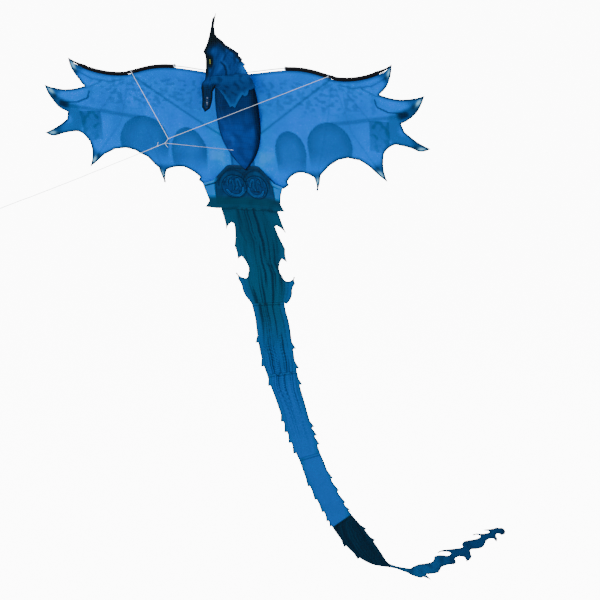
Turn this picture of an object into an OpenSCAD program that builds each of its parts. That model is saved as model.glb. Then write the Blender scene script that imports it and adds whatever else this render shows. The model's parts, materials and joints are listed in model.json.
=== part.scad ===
// Single-line dragon kite: framed wings, puffed belly, profile head, long tail,
// bridle and flying line. Millimetres, +Z up, front towards -Y. The origin is
// the tow point, where the flying line meets the bridle.

/* [Wings] */
// Distance between the outer wing claws
span = 1400; // [1250:10:1600]
// Distance from the middle to each wrist, where the bridle is tied and the wing bends
wrist_x = 367; // [330:1:410]
// Depth of the wings, from the leading edge at the wrist to the lowest scallop thorn
chord = 370; // [320:1:430]
// Rise of the leading edge between the middle and the wrist
edge_rise = 23; // [10:1:30]
// How far the outer claws stand in front of the wrists
tip_forward = 40; // [10:1:60]
// Thickness of the sail cloth
sail_t = 0.8; // [0.4:0.1:1.2]

/* [Rods] */
// Diameter of the leading edge rods
spar_d = 3; // [2.4:0.1:4]
// Diameter of the spine rod
spine_d = 4; // [3:0.1:5]
// Diameter of the diagonal struts
strut_d = 2.5; // [2:0.1:3]
// Diameter of the battens in the wing tips
batten_d = 2; // [1.5:0.1:2.5]
// Outer diameter of the cloth sleeve around the leading edge rods
sleeve_d = 10; // [8.5:0.5:12]
// Wall of the cloth sleeve
sleeve_wall = 0.8; // [0.5:0.1:1.2]
// Wall of the moulded connectors and caps
joiner_wall = 2; // [1.5:0.1:2.5]
// Clearance all round between a rod and the bore it slides into
rod_fit = 0.2; // [0.1:0.05:0.4]
// Length of rod held in each connector
grip = 20; // [14:1:24]
// Height of the lower connector below the leading edge
brace_drop = 249; // [220:1:290]

/* [Body] */
// Width of the puffed belly
belly_w = 154; // [120:1:180]
// Length of the belly
belly_l = 298; // [260:1:310]
// How far the belly puffs forward
belly_puff = 30; // [15:1:40]
// Diameter of the curled haunch patches
haunch_d = 76; // [60:1:78]
// Thickness of the haunch patches and other appliques
patch_t = 1.2; // [0.8:0.1:2]

/* [Head] */
// Thickness of the flat head panel
head_t = 2; // [1.2:0.1:3]
// Turn of the head panel about the vertical, snout forward
head_turn = 28; // [20:1:32]
// Diameter of the rod in the horn and face
horn_rod_d = 2; // [1.5:0.1:2.5]

/* [Tail] */
// Height of the tail, from the hips to its lowest fold
tail_drop = 1200; // [1000:10:1400]
// Width of the tail just below its barbs
tail_w = 124; // [100:1:150]
// Thickness of the tail cloth
tail_t = 0.8; // [0.4:0.1:1.2]

/* [Bridle and line] */
// Distance of the tow point in front of the leading edge
tow_reach = 456; // [380:1:560]
// Drop of the tow point below the leading edge
tow_drop = 137; // [110:1:170]
// Diameter of the bridle cord
bridle_d = 1.4; // [1:0.1:2]
// Diameter of the flying line
line_d = 1.6; // [1.2:0.1:2]
// Diameter of the knots
knot_d = 5; // [4:0.1:6]

/* [Hidden] */

// Gap that keeps pieces on two bodies, or two layers of cloth, apart
seam = 0.6;
// Gap kept between a sleeve or connector and the cloth beside it
edge_gap = 0.5;
// The wing outline below is drawn at this span, wrist and chord, and stretched to the sizes set
drawn_half_span = 700;
drawn_wrist = 367;
drawn_chord = 370;
// Half width of the flat strip of cloth behind the belly
root_x = 40;
// Height where the body ends and the haunches begin, and where the tail begins
hood_z = -314 * chord / drawn_chord;
hips_z = -455 * chord / drawn_chord;
// Set-back of the body behind the wrists at the leading edge, and its slope
body_back = 25;
body_slope = 0.13;
// Height of the leading edge at the middle
root_rise = 4;
// Straight stretch of the leading edge rod in the centre connector
centre_grip = grip + 6;
// Rod end gaps at the middle and on each side of the wrist hinge
centre_gap = 2;
wrist_gap = 2.5;
// Where the outer rod and the outer sleeve end
outer_rod_end = 0.545;
outer_sleeve_end = 0.5;
// The struts come forward this much per mm on their way out from the spine
strut_lean = 0.1;
// The spine stands this far behind the body cloth, the struts this far behind the rods
spine_back = strut_d / 2 + joiner_wall + rod_fit + sail_t / 2 + edge_gap + strut_lean * grip;
strut_back = spar_d / 2 + strut_d / 2 + joiner_wall + rod_fit;

half_span = span / 2;
tip_turn = atan(tip_forward / (half_span - wrist_x));
tip_span = half_span - wrist_x;

navy = [0, 0.2, 0.42];
azure = [0.03, 0.5, 0.85];
teal = [0, 0.36, 0.55];
ink = [0.08, 0.15, 0.22];

// ---------- placing and general helpers ----------

// Moves a piece drawn from the middle of the leading edge to the row's origin at the tow point
module kite() translate([0, tow_reach, tow_drop]) children();

// Draws a piece on the right wing, and its mirror image on the left
module on_side(side) {
  if (side > 0) children();
  else mirror([1, 0, 0]) children();
}

// Turns an outline drawn as (across, up) into a plate of thickness t about the plane y = 0
module plate(t) rotate([90, 0, 0]) linear_extrude(height = t, center = true) children();

// A round bar from point p to point q
module bar(p, q, d) {
  v = q - p;
  l = norm(v);
  translate(p) rotate([0, acos(v[2] / l), atan2(v[1], v[0])]) cylinder(h = l, d = d, $fn = 24);
}

// The point a distance along from p towards q
function toward(p, q, distance) = p + (q - p) * distance / norm(q - p);

// Points of the edge from p up to, but without, q, bowed to its left by sag at the middle
function bowed(p, q, sag, n = 6) =
  sag == 0 ? [p] :
  let (v = q - p, side = [-v[1], v[0]] / norm(v))
  [for (i = [0 : n - 1]) let (t = i / n) p + v * t + side * 4 * sag * t * (1 - t)];

// Outline through corners [across, up, sag of the edge to the next corner]
function outline(c) = [
  for (i = [0 : len(c) - 1])
    let (j = (i + 1) % len(c))
    each bowed([c[i][0], c[i][1]], [c[j][0], c[j][1]], c[i][2])
];

// One row of a smooth curve through rows of numbers, at position s counted in rows
function smooth_row(rows, s) =
  let (
    last = len(rows) - 1,
    i = min(floor(s), last - 1), t = s - i,
    a = rows[max(i - 1, 0)], b = rows[i], c = rows[i + 1], d = rows[min(i + 2, last)]
  )
  0.5 * (2 * b + (c - a) * t + (2 * a - 5 * b + 4 * c - d) * t * t
         + (3 * b - a - 3 * c + d) * t * t * t);

// Ring of n points of radius r about point p, square to direction v
function ring(p, v, r, n) =
  let (u = v / norm(v), a0 = [0, 0, 1] - u * u[2],
       b0 = norm(a0) > 0.1 ? a0 : [1, 0, 0] - u * u[0],
       a = b0 / norm(b0), b = cross(u, a))
  [for (k = [0 : n - 1]) p + (a * cos(360 * k / n) + b * sin(360 * k / n)) * r];

// Direction of a path at its point i
function heading(path, i) = path[min(i + 1, len(path) - 1)] - path[max(i - 1, 0)];

// Side faces between rings of n points, the first ring starting at point first
function wall_faces(rings, n, first, inward) = [
  for (i = [0 : rings - 2]) for (k = [0 : n - 1])
    let (a = first + i * n + k, b = first + i * n + (k + 1) % n, c = a + n, d = b + n)
    each (inward ? [[a, c, b], [b, c, d]] : [[a, b, c], [b, d, c]])
];

// Solid round rod along a path
module rod_along(path, d, n = 8) {
  m = len(path);
  points = [for (i = [0 : m - 1]) each ring(path[i], heading(path, i), d / 2, n)];
  ends = [[for (k = [n - 1 : -1 : 0]) k], [for (k = [0 : n - 1]) (m - 1) * n + k]];
  polyhedron(points, concat(wall_faces(m, n, 0, false), ends));
}

// Hollow sleeve along a path
module sleeve_along(path, d, wall, n = 10) {
  m = len(path);
  outer = [for (i = [0 : m - 1]) each ring(path[i], heading(path, i), d / 2, n)];
  inner = [for (i = [0 : m - 1]) each ring(path[i], heading(path, i), d / 2 - wall, n)];
  rims = [
    for (k = [0 : n - 1]) let (j = (k + 1) % n, e = (m - 1) * n, w = m * n)
      each [[j, k, w + k], [j, w + k, w + j], [e + k, e + j, w + e + k], [e + j, w + e + j, w + e + k]]
  ];
  polyhedron(concat(outer, inner),
    concat(wall_faces(m, n, 0, false), wall_faces(m, n, m * n, true), rims));
}

// ---------- the kite's own lines and surfaces ----------

// Body line, behind the leading edge and sloping back as it goes down
function body_y(z) = body_back - body_slope * z;

// Height of the leading edge rod at a distance x from the middle
function edge_z(x) =
  x <= wrist_x
  ? let (t = max(0, (x - centre_grip) / (wrist_x - centre_grip)))
    root_rise * (1 - t) + edge_rise * sin(180 * pow(t, 1.4))
  : let (u = (x - wrist_x) / (tip_span * 215 / 333)) 46 * u * u - 24 * u * (1 - u);

// Set-back of the leading edge rod, straight from the middle to the wrist
function edge_y(x) = body_back * (1 - x / wrist_x);

// Set-back of the inner sail, flat behind the belly and running out to nothing at the wrist
function sail_y(x, z) =
  body_y(z) * (1 - max(0, min(1, (abs(x) - root_x) / (wrist_x - root_x))));

// Drawn wing coordinates stretched to the sizes set
function wing_x(x) =
  x <= drawn_wrist ? x * wrist_x / drawn_wrist
  : wrist_x + (x - drawn_wrist) * tip_span / (drawn_half_span - drawn_wrist);
function wing_z(z) = z > 0 ? z : z * chord / drawn_chord;

// Free edge of the wing from the leading claw round to the haunches: across, up, sag
claws = [
  [582, 50, 12], [533, -45, -13], [686, -43, 15], [604, -132, 0], [612, -157, -4],
  [700, -205, 4], [655, -214, -3], [580, -199, -6], [535, -232, -8], [543, -318, 0],
  [524, -306, -60], [296, -318, 2], [279, -370, -3], [270, -325, -22], [161, -350, 0],
  [167, -361, 0], [145, -376, 0], [108, -366, 0], [54, -314, 0]
];
// Edge of the haunches, from the hood round the right thorn to the tail
hips_edge = [[54, -314, 0], [108, -366, 0], [145, -376, -3], [132, -428, 0], [146, -449, 0]];

function fitted(c) = [for (p = c) [wing_x(p[0]), wing_z(p[1]), p[2]]];

// Radius of the bridle ring round the leading edge at the wrist
ring_r = (spar_d + 2 * (joiner_wall + rod_fit)) / 2 + bridle_d / 2 + rod_fit;
// Top edge of the sail just under the sleeve and the ring
function sail_top(x) = edge_z(x) - max(sleeve_d / 2, ring_r + bridle_d / 2) - edge_gap;
top_steps = 22;
spar_end_x = wrist_x + tip_span * outer_rod_end;
wing_outline = concat(
  [[root_x, hood_z], [root_x, sail_top(root_x)]],
  [for (i = [1 : top_steps]) let (x = root_x + (spar_end_x + 12 - root_x) * i / top_steps)
    [x, sail_top(x)]],
  outline(concat(fitted(claws), [[root_x + 2, hood_z, 0]]))
);

// Point on the leading edge rod: inner part, then the outer part in its own turned plane
function inner_spar(x) = [x, edge_y(x), edge_z(x)];
function outer_spar(u) = [u, 0, edge_z(wrist_x + u)];
module tip_frame() translate([wrist_x, 0, 0]) rotate([0, 0, -tip_turn]) children();

inner_grip_x = wrist_x - wrist_gap - grip;
inner_stations = concat([centre_gap, centre_grip],
  [for (i = [1 : 11]) centre_grip + (inner_grip_x - centre_grip) * i / 12],
  [inner_grip_x, wrist_x - wrist_gap]);
cap_grip = 9;
outer_end_u = tip_span * outer_rod_end;
outer_stations = concat([wrist_gap],
  [for (i = [1 : 8]) wrist_gap + (outer_end_u - cap_grip - wrist_gap) * i / 9],
  [outer_end_u - cap_grip, outer_end_u]);

// Struts run behind the sail from the wrist joiner to the lower connector
strut_wrist = [wrist_x - 8, strut_back, -6];
strut_spine = [0, body_y(-brace_drop) + spine_back, -brace_drop];
strut_from = toward(strut_wrist, strut_spine, 2);
strut_to = toward(strut_spine, strut_wrist, spine_d / 2 + joiner_wall + 4);

// Battens run behind the outer sail from the wrist to the second claw
batten_back = batten_d / 2 + joiner_wall + rod_fit + sail_t / 2 + edge_gap;
batten_from = [16, batten_back, -12];
batten_to = [wing_x(598) - wrist_x, batten_back, wing_z(-97)];

// ---------- rods, sleeves and connectors ----------

function spine_at(z) = [0, body_y(z) + spine_back, z];
spine_top = spine_at(root_rise + 38);
spine_foot = spine_at(hips_z + 12);

module spine_rod() color("dimgray") kite() bar(spine_top, spine_foot, spine_d);

// Closed cup that takes a rod end, its mouth at p and its floor beyond q
module rod_cap(p, q, d) {
  difference() {
    bar(p, toward(q, p, -joiner_wall), d + 2 * (joiner_wall + rod_fit));
    bar(toward(p, q, -1), q, d + 2 * rod_fit);
  }
}
module spine_top_cap() color(ink) kite()
  rod_cap(toward(spine_top, spine_foot, 14), spine_top, spine_d);
module spine_tail_cap() color(ink) kite()
  rod_cap(toward(spine_foot, spine_top, 14), spine_foot, spine_d);

// Socket tube with its bore cut by the caller
module socket(p, q, d) bar(p, q, d + 2 * (joiner_wall + rod_fit));
module bore(p, q, d) bar(toward(p, q, -1), toward(q, p, -1), d + 2 * rod_fit);

module centre_connector() color(ink) kite() {
  middle = [0, edge_y(0), root_rise];
  difference() {
    union() {
      for (s = [-1, 1]) on_side(s)
        bar(middle, inner_spar(centre_grip), spar_d + 2 * (joiner_wall + rod_fit));
      socket(spine_at(root_rise - 12), spine_at(root_rise + 12), spine_d);
    }
    for (s = [-1, 1]) on_side(s) bore(inner_spar(centre_gap), inner_spar(centre_grip), spar_d);
    bore(spine_at(root_rise - 12), spine_at(root_rise + 12), spine_d);
  }
}

module lower_connector() color(ink) kite() {
  difference() {
    union() {
      socket(spine_at(-brace_drop - 12), spine_at(-brace_drop + 12), spine_d);
      for (s = [-1, 1]) on_side(s)
        socket(toward(strut_spine, strut_wrist, spine_d / 2), toward(strut_to, strut_wrist, grip), strut_d);
    }
    for (s = [-1, 1]) on_side(s) bore(strut_to, toward(strut_to, strut_wrist, grip), strut_d);
    bore(spine_at(-brace_drop - 12), spine_at(-brace_drop + 12), spine_d);
  }
}

module inner_spar_rod(side) color("gainsboro") kite() on_side(side)
  rod_along([for (x = inner_stations) inner_spar(x)], spar_d);
module left_inner_spar() inner_spar_rod(-1);
module right_inner_spar() inner_spar_rod(1);

module wrist_joiner(side) color(ink) kite() on_side(side) {
  a = inner_spar(inner_grip_x);
  b = inner_spar(wrist_x - wrist_gap);
  difference() {
    union() {
      socket(a, b, spar_d);
      socket(strut_from, toward(strut_from, strut_spine, grip), strut_d);
    }
    bore(a, b, spar_d);
    bore(strut_from, toward(strut_from, strut_spine, grip), strut_d);
  }
}
module left_wrist_joiner() wrist_joiner(-1);
module right_wrist_joiner() wrist_joiner(1);

module strut(side) color("dimgray") kite() on_side(side) bar(strut_from, strut_to, strut_d);
module left_strut() strut(-1);
module right_strut() strut(1);

sleeve_from_x = 200 * wrist_x / drawn_wrist;
module inner_sleeve(side) color(ink) kite() on_side(side) {
  end_x = inner_grip_x - 2;
  sleeve_along([for (i = [0 : 8]) inner_spar(sleeve_from_x + (end_x - sleeve_from_x) * i / 8)],
    sleeve_d, sleeve_wall);
}
module left_inner_sleeve() inner_sleeve(-1);
module right_inner_sleeve() inner_sleeve(1);

module outer_spar_rod(side) color("gainsboro") kite() on_side(side) tip_frame()
  rod_along([for (u = outer_stations) outer_spar(u)], spar_d);
module left_outer_spar() outer_spar_rod(-1);
module right_outer_spar() outer_spar_rod(1);

module outer_sleeve(side) color(ink) kite() on_side(side) tip_frame() {
  from = wrist_gap + 1;
  to = tip_span * outer_sleeve_end;
  sleeve_along([for (i = [0 : 8]) outer_spar(from + (to - from) * i / 8)], sleeve_d, sleeve_wall);
}
module left_outer_sleeve() outer_sleeve(-1);
module right_outer_sleeve() outer_sleeve(1);

module spar_cap(side) color(ink) kite() on_side(side) tip_frame()
  rod_cap(outer_spar(outer_end_u - cap_grip), outer_spar(outer_end_u), spar_d);
module left_spar_cap() spar_cap(-1);
module right_spar_cap() spar_cap(1);

module tip_batten(side) color("dimgray") kite() on_side(side) tip_frame()
  bar(batten_from, batten_to, batten_d);
module left_tip_batten() tip_batten(-1);
module right_tip_batten() tip_batten(1);

module batten_pocket(side) color("maroon") kite() on_side(side) tip_frame()
  rod_cap(toward(batten_to, batten_from, 12), batten_to, batten_d);
module left_batten_pocket() batten_pocket(-1);
module right_batten_pocket() batten_pocket(1);

// ---------- cloth of the wings and body ----------

// Curved slab that follows the inner sail, lifted forward by lift, over stations xs and zs
module sail_slab(xs, zs, t, lift = 0) {
  n = len(xs);
  m = len(zs);
  front = [for (z = zs) for (x = xs) [x, sail_y(x, z) - lift - t / 2, z]];
  back = [for (z = zs) for (x = xs) [x, sail_y(x, z) - lift + t / 2, z]];
  w = n * m;
  skin = [
    for (j = [0 : m - 2]) for (i = [0 : n - 2])
      let (a = j * n + i, b = a + 1, c = a + n, d = c + 1)
      each [[a, c, b], [b, c, d], [w + a, w + b, w + c], [w + b, w + d, w + c]]
  ];
  sides = concat(
    [for (i = [0 : n - 2]) each [[i, i + 1, w + i], [i + 1, w + i + 1, w + i]]],
    [for (i = [0 : n - 2]) let (e = w - n + i)
      each [[e, w + e, e + 1], [e + 1, w + e, w + e + 1]]],
    [for (j = [0 : m - 2]) let (a = j * n, c = a + n) each [[a, w + a, c], [c, w + a, w + c]]],
    [for (j = [0 : m - 2]) let (a = j * n + n - 1, c = a + n)
      each [[a, c, w + a], [c, w + c, w + a]]]
  );
  polyhedron(concat(front, back), concat(skin, sides));
}

function steps(a, b, n) = [for (i = [0 : n]) a + (b - a) * i / n];

module inner_sail(side) color(azure) kite() on_side(side) intersection() {
  translate([0, body_y(-chord) / 2, 0]) plate(4 * body_y(-chord)) intersection() {
    polygon(wing_outline);
    translate([root_x, -2 * chord]) square([wrist_x - seam - root_x, 4 * chord]);
  }
  sail_slab(steps(root_x - 1, wrist_x + 1, 8), steps(-chord - 40, edge_rise + 20, 4), sail_t);
}
module left_inner_sail() inner_sail(-1);
module right_inner_sail() inner_sail(1);

module outer_sail(side) color(azure) kite() on_side(side) tip_frame() plate(sail_t)
  intersection() {
    translate([-wrist_x, 0]) polygon(wing_outline);
    translate([seam, -2 * chord]) square([half_span, 4 * chord]);
  }
module left_outer_sail() outer_sail(-1);
module right_outer_sail() outer_sail(1);

module body_panel() color(azure) kite()
  sail_slab([-root_x, 0, root_x], [hood_z, sail_top(root_x)], sail_t);

hips_top = hood_z;
hips_outline = concat(
  [[wing_x(-54), hips_top], [0, hips_top]],
  outline(concat(fitted(hips_edge), [[109, hips_z + seam, 0]])),
  [for (p = [[-109, hips_z + seam], [-146, wing_z(-449)], [-132, wing_z(-428)], [-145, wing_z(-376)],
    [-108, wing_z(-366)]]) [p[0] * wrist_x / drawn_wrist, p[1]]]
);
module hips_panel() color(navy) kite() intersection() {
  translate([0, body_y(hips_z) / 2, 0]) plate(4 * body_y(hips_z)) polygon(hips_outline);
  sail_slab(concat(steps(-160, -root_x, 4), steps(root_x, 160, 4)),
    steps(hips_z - 20, hood_z + 20, 4), sail_t);
}

haunch_z = hood_z - 64;
module haunch_patch(side) color(navy) kite() on_side(side) intersection() {
  translate([haunch_d / 2 + seam, body_y(haunch_z), haunch_z]) rotate([90, 0, 0])
    cylinder(h = 200, d = haunch_d, center = true, $fn = 48);
  sail_slab([-2, root_x, 70, 100], [haunch_z - 60, haunch_z + 60], patch_t,
    sail_t / 2 + patch_t / 2 + edge_gap);
}
module left_haunch_patch() haunch_patch(-1);
module right_haunch_patch() haunch_patch(1);

// Belly: half width and puff at a share t of its length from the top
belly_top_z = -20;
belly_shift = 8;
belly_rings = 12;
belly_arc = 10;
// Half width of its lower point and thickness of its edge
belly_tip = 3;
belly_edge = 1;
function belly_half(t) =
  belly_w / 2 * (t < 0.34 ? 1 - 0.16 * pow((0.34 - t) / 0.34, 2) : 1 - pow((t - 0.34) / 0.66, 3));
function belly_depth(t) = 2 + belly_puff * sin(180 * pow(0.06 + 0.9 * t, 0.8));
// Back edge of the belly, lying on the cloth behind it
function belly_back(x, z) = sail_y(x, z) - sail_t / 2 - edge_gap;
// Point on the belly's back edge or, set forward by puff, on its front: t down, a round from the left
function belly_point(t, a, puff) =
  let (z = belly_top_z - belly_l * t, w = max(belly_half(t), belly_tip), s = (1 - cos(a)) / 2,
    l = belly_shift - w, r = belly_shift + w)
  [l + (r - l) * s, belly_back(l, z) * (1 - s) + belly_back(r, z) * s - puff * sin(a), z];
module belly_pouch() color(navy) kite() {
  n = belly_arc + 1;
  points = [
    for (i = [0 : belly_rings]) let (t = i / belly_rings)
      each concat(
        [for (k = [0 : belly_arc])
          belly_point(t, 180 * k / belly_arc, belly_depth(t)) - [0, belly_edge, 0]],
        [belly_point(t, 180, 0), belly_point(t, 0, 0)])
  ];
  m = n + 2;
  polyhedron(points, concat(wall_faces(belly_rings + 1, m, 0, false),
    [[for (k = [m - 1 : -1 : 0]) k], [for (k = [0 : m - 1]) belly_rings * m + k]]));
}

// ---------- head, on its own turned plane ----------

// The neck is sewn to the body here, and the head swings about this upright line
neck = [40, -14, 0];
module head_plane() translate(neck) rotate([0, 0, head_turn]) children();

// Profile from the horn down the face, along the throat and back up the nape
face = [
  [-53, 201, 2], [-64, 185, 0], [-69, 163, 1], [-86, 107, 0], [-99, 83, 2], [-93, 58, 1],
  [-99, -6, -3], [-113, -30, 2], [-115, -92, 1], [-108, -107, 0], [-92, -97, -3],
  [-80, -45, -2], [-66, -14, 0]
];
nape = [
  [-60, 134, 0], [-56, 127, 2], [-30, 101, 2], [-9, 86, 0], [10, 72, 0], [9, 64, 0],
  [20, 53, 0], [18, 46, 0], [28, 36, 0], [22, 33, 2]
];
neck_foot = [[38, 2, 0], [42, -14, 0]];
horn_back = [[-62, 161, 0], [-58, 180, 0]];
crest_inner = [[10, 40, 3], [-18, 66, 3], [-50, 100, 0], [-68, 128, 0]];

function reversed(list) = [for (i = [len(list) - 1 : -1 : 0]) list[i]];

module head_shape() polygon(outline(concat(face, reversed(neck_foot), reversed([
  for (p = nape) [p[0], p[1], -p[2]]]), horn_back)));
module crest_shape() polygon(outline(concat(reversed([for (p = nape) [p[0], p[1], -p[2]]]),
  reversed([for (p = crest_inner) [p[0], p[1], 0]]))));

module head_panel() color(navy) kite() head_plane() plate(head_t) head_shape();
module head_crest() color(ink) kite() head_plane()
  for (s = [-1, 1]) translate([0, s * (head_t / 2 + 0.3 + edge_gap / 5), 0]) plate(0.6) crest_shape();
module head_eye() color("yellowgreen") kite() head_plane()
  for (s = [-1, 1]) translate([-81, s * (head_t / 2 + 0.5), 51]) plate(0.8)
    rotate(-6) polygon([for (a = [0 : 15 : 345]) [5 * cos(a), 12 * sin(a)]]);

horn_top = [-63, head_t / 2 + 0.8 + horn_rod_d / 2 + 1.2, 176];
horn_foot = [-104, horn_top[1], -70];
module horn_rod() color("dimgray") kite() head_plane() bar(horn_top, horn_foot, horn_rod_d);
module horn_rod_sleeve() color(ink) kite() head_plane() difference() {
  bar(toward(horn_top, horn_foot, 4), toward(horn_foot, horn_top, 4), horn_rod_d + 2 * (rod_fit + sleeve_wall));
  bar(horn_top, horn_foot, horn_rod_d + 2 * rod_fit);
}

// ---------- tail ----------

// Middle line and half width of the tail, drawn below the hips: across, down, half width
tail_rows = [
  [0, 0, 105], [27, -85, 80], [33, -145, 90], [44, -245, 80], [50, -320, 62], [61, -395, 63],
  [70, -475, 62], [87, -561, 58], [110, -650, 54], [136, -745, 49], [173, -845, 44],
  [215, -945, 46], [262, -1035, 46], [283, -1064, 47], [323, -1113, 50], [362, -1151, 44],
  [405, -1181, 28], [457, -1200, 6], [540, -1190, 22], [625, -1163, 34], [690, -1125, 34],
  [748, -1083, 34], [795, -1044, 26], [833, -1030, 22], [864, -1014, 6]
];
drawn_drop = 1200;
drawn_tail_w = 124;
tail_y = body_y(hips_z);
// Rows at which the tail bends: its sections run from one to the next
bends = [0, 4, 7, 10, 13, 17, 24];

function tail_point(s) = let (r = smooth_row(tail_rows, s), k = tail_drop / drawn_drop)
  [r[0] * k, r[1] * k];
function tail_heading(s) =
  let (v = tail_point(min(s + 0.02, 24)) - tail_point(max(s - 0.02, 0))) v / norm(v);
function tail_out(s) = let (v = tail_heading(s)) [v[1], -v[0]];
function tail_half(s) = smooth_row(tail_rows, s)[2] * tail_w / drawn_tail_w;
// Point on an edge of the tail: side is 1 for +X side of a hanging tail and -1 for the other
function tail_edge(s, side, extra = 0) =
  tail_point(s) - tail_out(s) * side * (tail_half(s) + extra);

// One edge of a section from row a to row b, with a thorn ending at each row in thorns
function thorny_edge(a, b, side, thorns, size, length) =
  let (step = 0.25)
  concat(
    [tail_edge(a, side)],
    [for (s = [a + 0.1 : step : b - 0.1])
      let (starting = [for (t = thorns) if (t - length >= s && t - length < s + step) t],
           covering = [for (t = thorns) if (s > t - length - 0.1 && s < t + 0.1) t])
      each concat(
        len(covering) == 0 ? [tail_edge(s, side)] : [],
        [for (t = starting) each
          [tail_edge(t - length, side), tail_edge(t, side, size), tail_edge(t + 0.01, side)]])],
    [tail_edge(b, side)]
  );

module tail_section(i, left_thorns, right_thorns, size, length, shade) color(shade) kite() {
  tiny = seam / 80;
  a = bends[i] + tiny;
  b = bends[i + 1] - tiny;
  translate([0, tail_y, hips_z]) plate(tail_t) polygon(concat(
    thorny_edge(a, b, -1, left_thorns, size, length),
    reversed(thorny_edge(a, b, 1, right_thorns, size, length))));
}

// Right half of the barbed top of the tail: out from the middle line, down, sag
barbs = [
  [108, -52, 0], [110, -74, -3], [84, -50, 0], [76, -55, -3], [93, -128, -3],
  [90, -172, 0], [74, -162, -2], [60, -183, -6], [64, -220, -6], [82, -236, -3],
  [108, -219, -3], [106, -242, -4], [93, -277, 5]
];
function barb_middle(z) = 50 * min(1, pow(-z / 240, 0.8));
module tail_barbed() color(teal) kite() {
  k = tail_drop / drawn_drop;
  w = tail_w / drawn_tail_w;
  half = outline(concat([[105, -seam, 0]], barbs, [[62, -320, 0]]));
  right = [for (i = [0 : len(half) - 2]) if (half[i][1] > -316)
    [barb_middle(half[i][1]) + half[i][0] * w, half[i][1]] * k];
  left = [for (i = [0 : len(half) - 2]) if (half[i][1] > -316)
    [barb_middle(half[i][1]) - half[i][0] * w, half[i][1]] * k];
  last = bends[1] - seam / 80;
  translate([0, tail_y, hips_z]) plate(tail_t)
    polygon(concat(left, [tail_edge(last, -1), tail_edge(last, 1)], reversed(right)));
}

module tail_upper()
  tail_section(1, [5.7, 6.6], [6.05, 6.85], 11, 0.3, teal);
module tail_middle()
  tail_section(2, [7.35, 8.7, 9.05, 9.4, 9.75], [7.5, 9.1, 9.4, 9.7], 10, 0.24, azure);
module tail_lower()
  tail_section(3, [10.4, 10.85, 11.3, 11.75, 12.2, 12.65], [10.4, 10.85, 11.3, 11.75, 12.2, 12.65], 8, 0.3, azure);
module tail_dark()
  tail_section(4, [14.1, 15.1], [14.1, 15.1], 9, 0.4, ink);
// Flame-shaped end: along its upper edge to the hooked tip and back under it, across and down
flame = [
  [477, -1198], [502, -1200], [523, -1200], [539, -1188], [556, -1179], [575, -1174],
  [595, -1167], [607, -1160], [612, -1150], [612, -1144], [618, -1138], [632, -1133],
  [648, -1131], [660, -1131], [671, -1126], [674, -1119], [668, -1116], [654, -1117],
  [640, -1120], [626, -1127], [632, -1119], [643, -1113], [660, -1108], [684, -1102],
  [714, -1094], [717, -1090], [713, -1084], [716, -1077], [722, -1071], [737, -1066],
  [753, -1062], [766, -1057], [776, -1051], [777, -1047], [770, -1044], [762, -1044],
  [750, -1047], [762, -1040], [786, -1038], [799, -1034], [810, -1029], [804, -1026],
  [788, -1025], [799, -1021], [813, -1018], [825, -1014], [833, -1009], [839, -1010],
  [850, -1008], [857, -1010], [861, -1014], [863, -1021], [861, -1028], [857, -1031],
  [850, -1034], [843, -1031], [837, -1030], [832, -1033], [830, -1040], [834, -1046],
  [835, -1052], [832, -1059], [827, -1055], [823, -1050], [814, -1050], [803, -1055],
  [796, -1063], [792, -1073], [788, -1081], [778, -1088], [762, -1093], [745, -1096],
  [742, -1102], [743, -1110], [747, -1119], [744, -1128], [737, -1136], [727, -1142],
  [727, -1135], [722, -1127], [713, -1125], [702, -1127], [691, -1133], [688, -1139],
  [691, -1146], [690, -1153], [683, -1159], [668, -1161], [652, -1168], [638, -1176],
  [632, -1187], [626, -1198], [615, -1203], [598, -1208], [579, -1213], [587, -1219],
  [596, -1229], [584, -1226], [570, -1223], [560, -1229], [551, -1228], [541, -1227],
  [526, -1223], [512, -1217], [493, -1212], [473, -1207]
];
module tail_flame() color(teal) kite() {
  k = tail_drop / drawn_drop;
  start = bends[5] + seam / 80;
  translate([0, tail_y, hips_z]) plate(tail_t)
    polygon(concat([tail_edge(start, 1)], [for (p = flame) p * k], [tail_edge(start, -1)]));
}

// ---------- bridle ----------

// Knots, measured from the middle of the leading edge
tow_eye = [0, -tow_reach, -tow_drop];
top_knot = tow_eye + [0, 65, 9.5];
tow_knot = tow_eye + [0, 45, 0];
ring_x = wrist_x - wrist_gap - grip / 2;
ring_at = inner_spar(ring_x);
leg_from = ring_at + [0, -ring_r - bridle_d, 0];
low_knot_t = (brace_drop + belly_top_z) / belly_l;
// The lower knot keeps on the belly's rounded front, however narrow the belly is at that height
low_knot_x = max(-24, belly_shift - 0.8 * belly_half(low_knot_t));
low_knot = belly_point(low_knot_t, acos((belly_shift - low_knot_x) / belly_half(low_knot_t)),
  belly_depth(low_knot_t)) - [0, belly_edge + knot_d / 2 + edge_gap, 0];

// A knot at p with a loose tail of cord
module knot(p, tail) {
  translate(p) sphere(d = knot_d, $fn = 24);
  bar(p, p + tail, bridle_d * 0.8);
}

module bridle_ring(side) color("white") kite() on_side(side) {
  v = inner_spar(wrist_x - wrist_gap) - inner_spar(inner_grip_x);
  translate(ring_at) rotate([0, acos(v[2] / norm(v)), atan2(v[1], v[0])])
    rotate_extrude($fn = 48) translate([ring_r, 0]) circle(d = bridle_d, $fn = 16);
  translate(leg_from) sphere(d = knot_d * 0.7, $fn = 24);
}
module left_bridle_ring() bridle_ring(-1);
module right_bridle_ring() bridle_ring(1);

module bridle_leg(side) color("white") kite() on_side(side)
  bar(toward(leg_from, top_knot, knot_d * 0.35 + 0.1), toward(top_knot, leg_from, knot_d / 2 + 0.1), bridle_d);
module left_bridle_leg() bridle_leg(-1);
module right_bridle_leg() bridle_leg(1);

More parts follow.
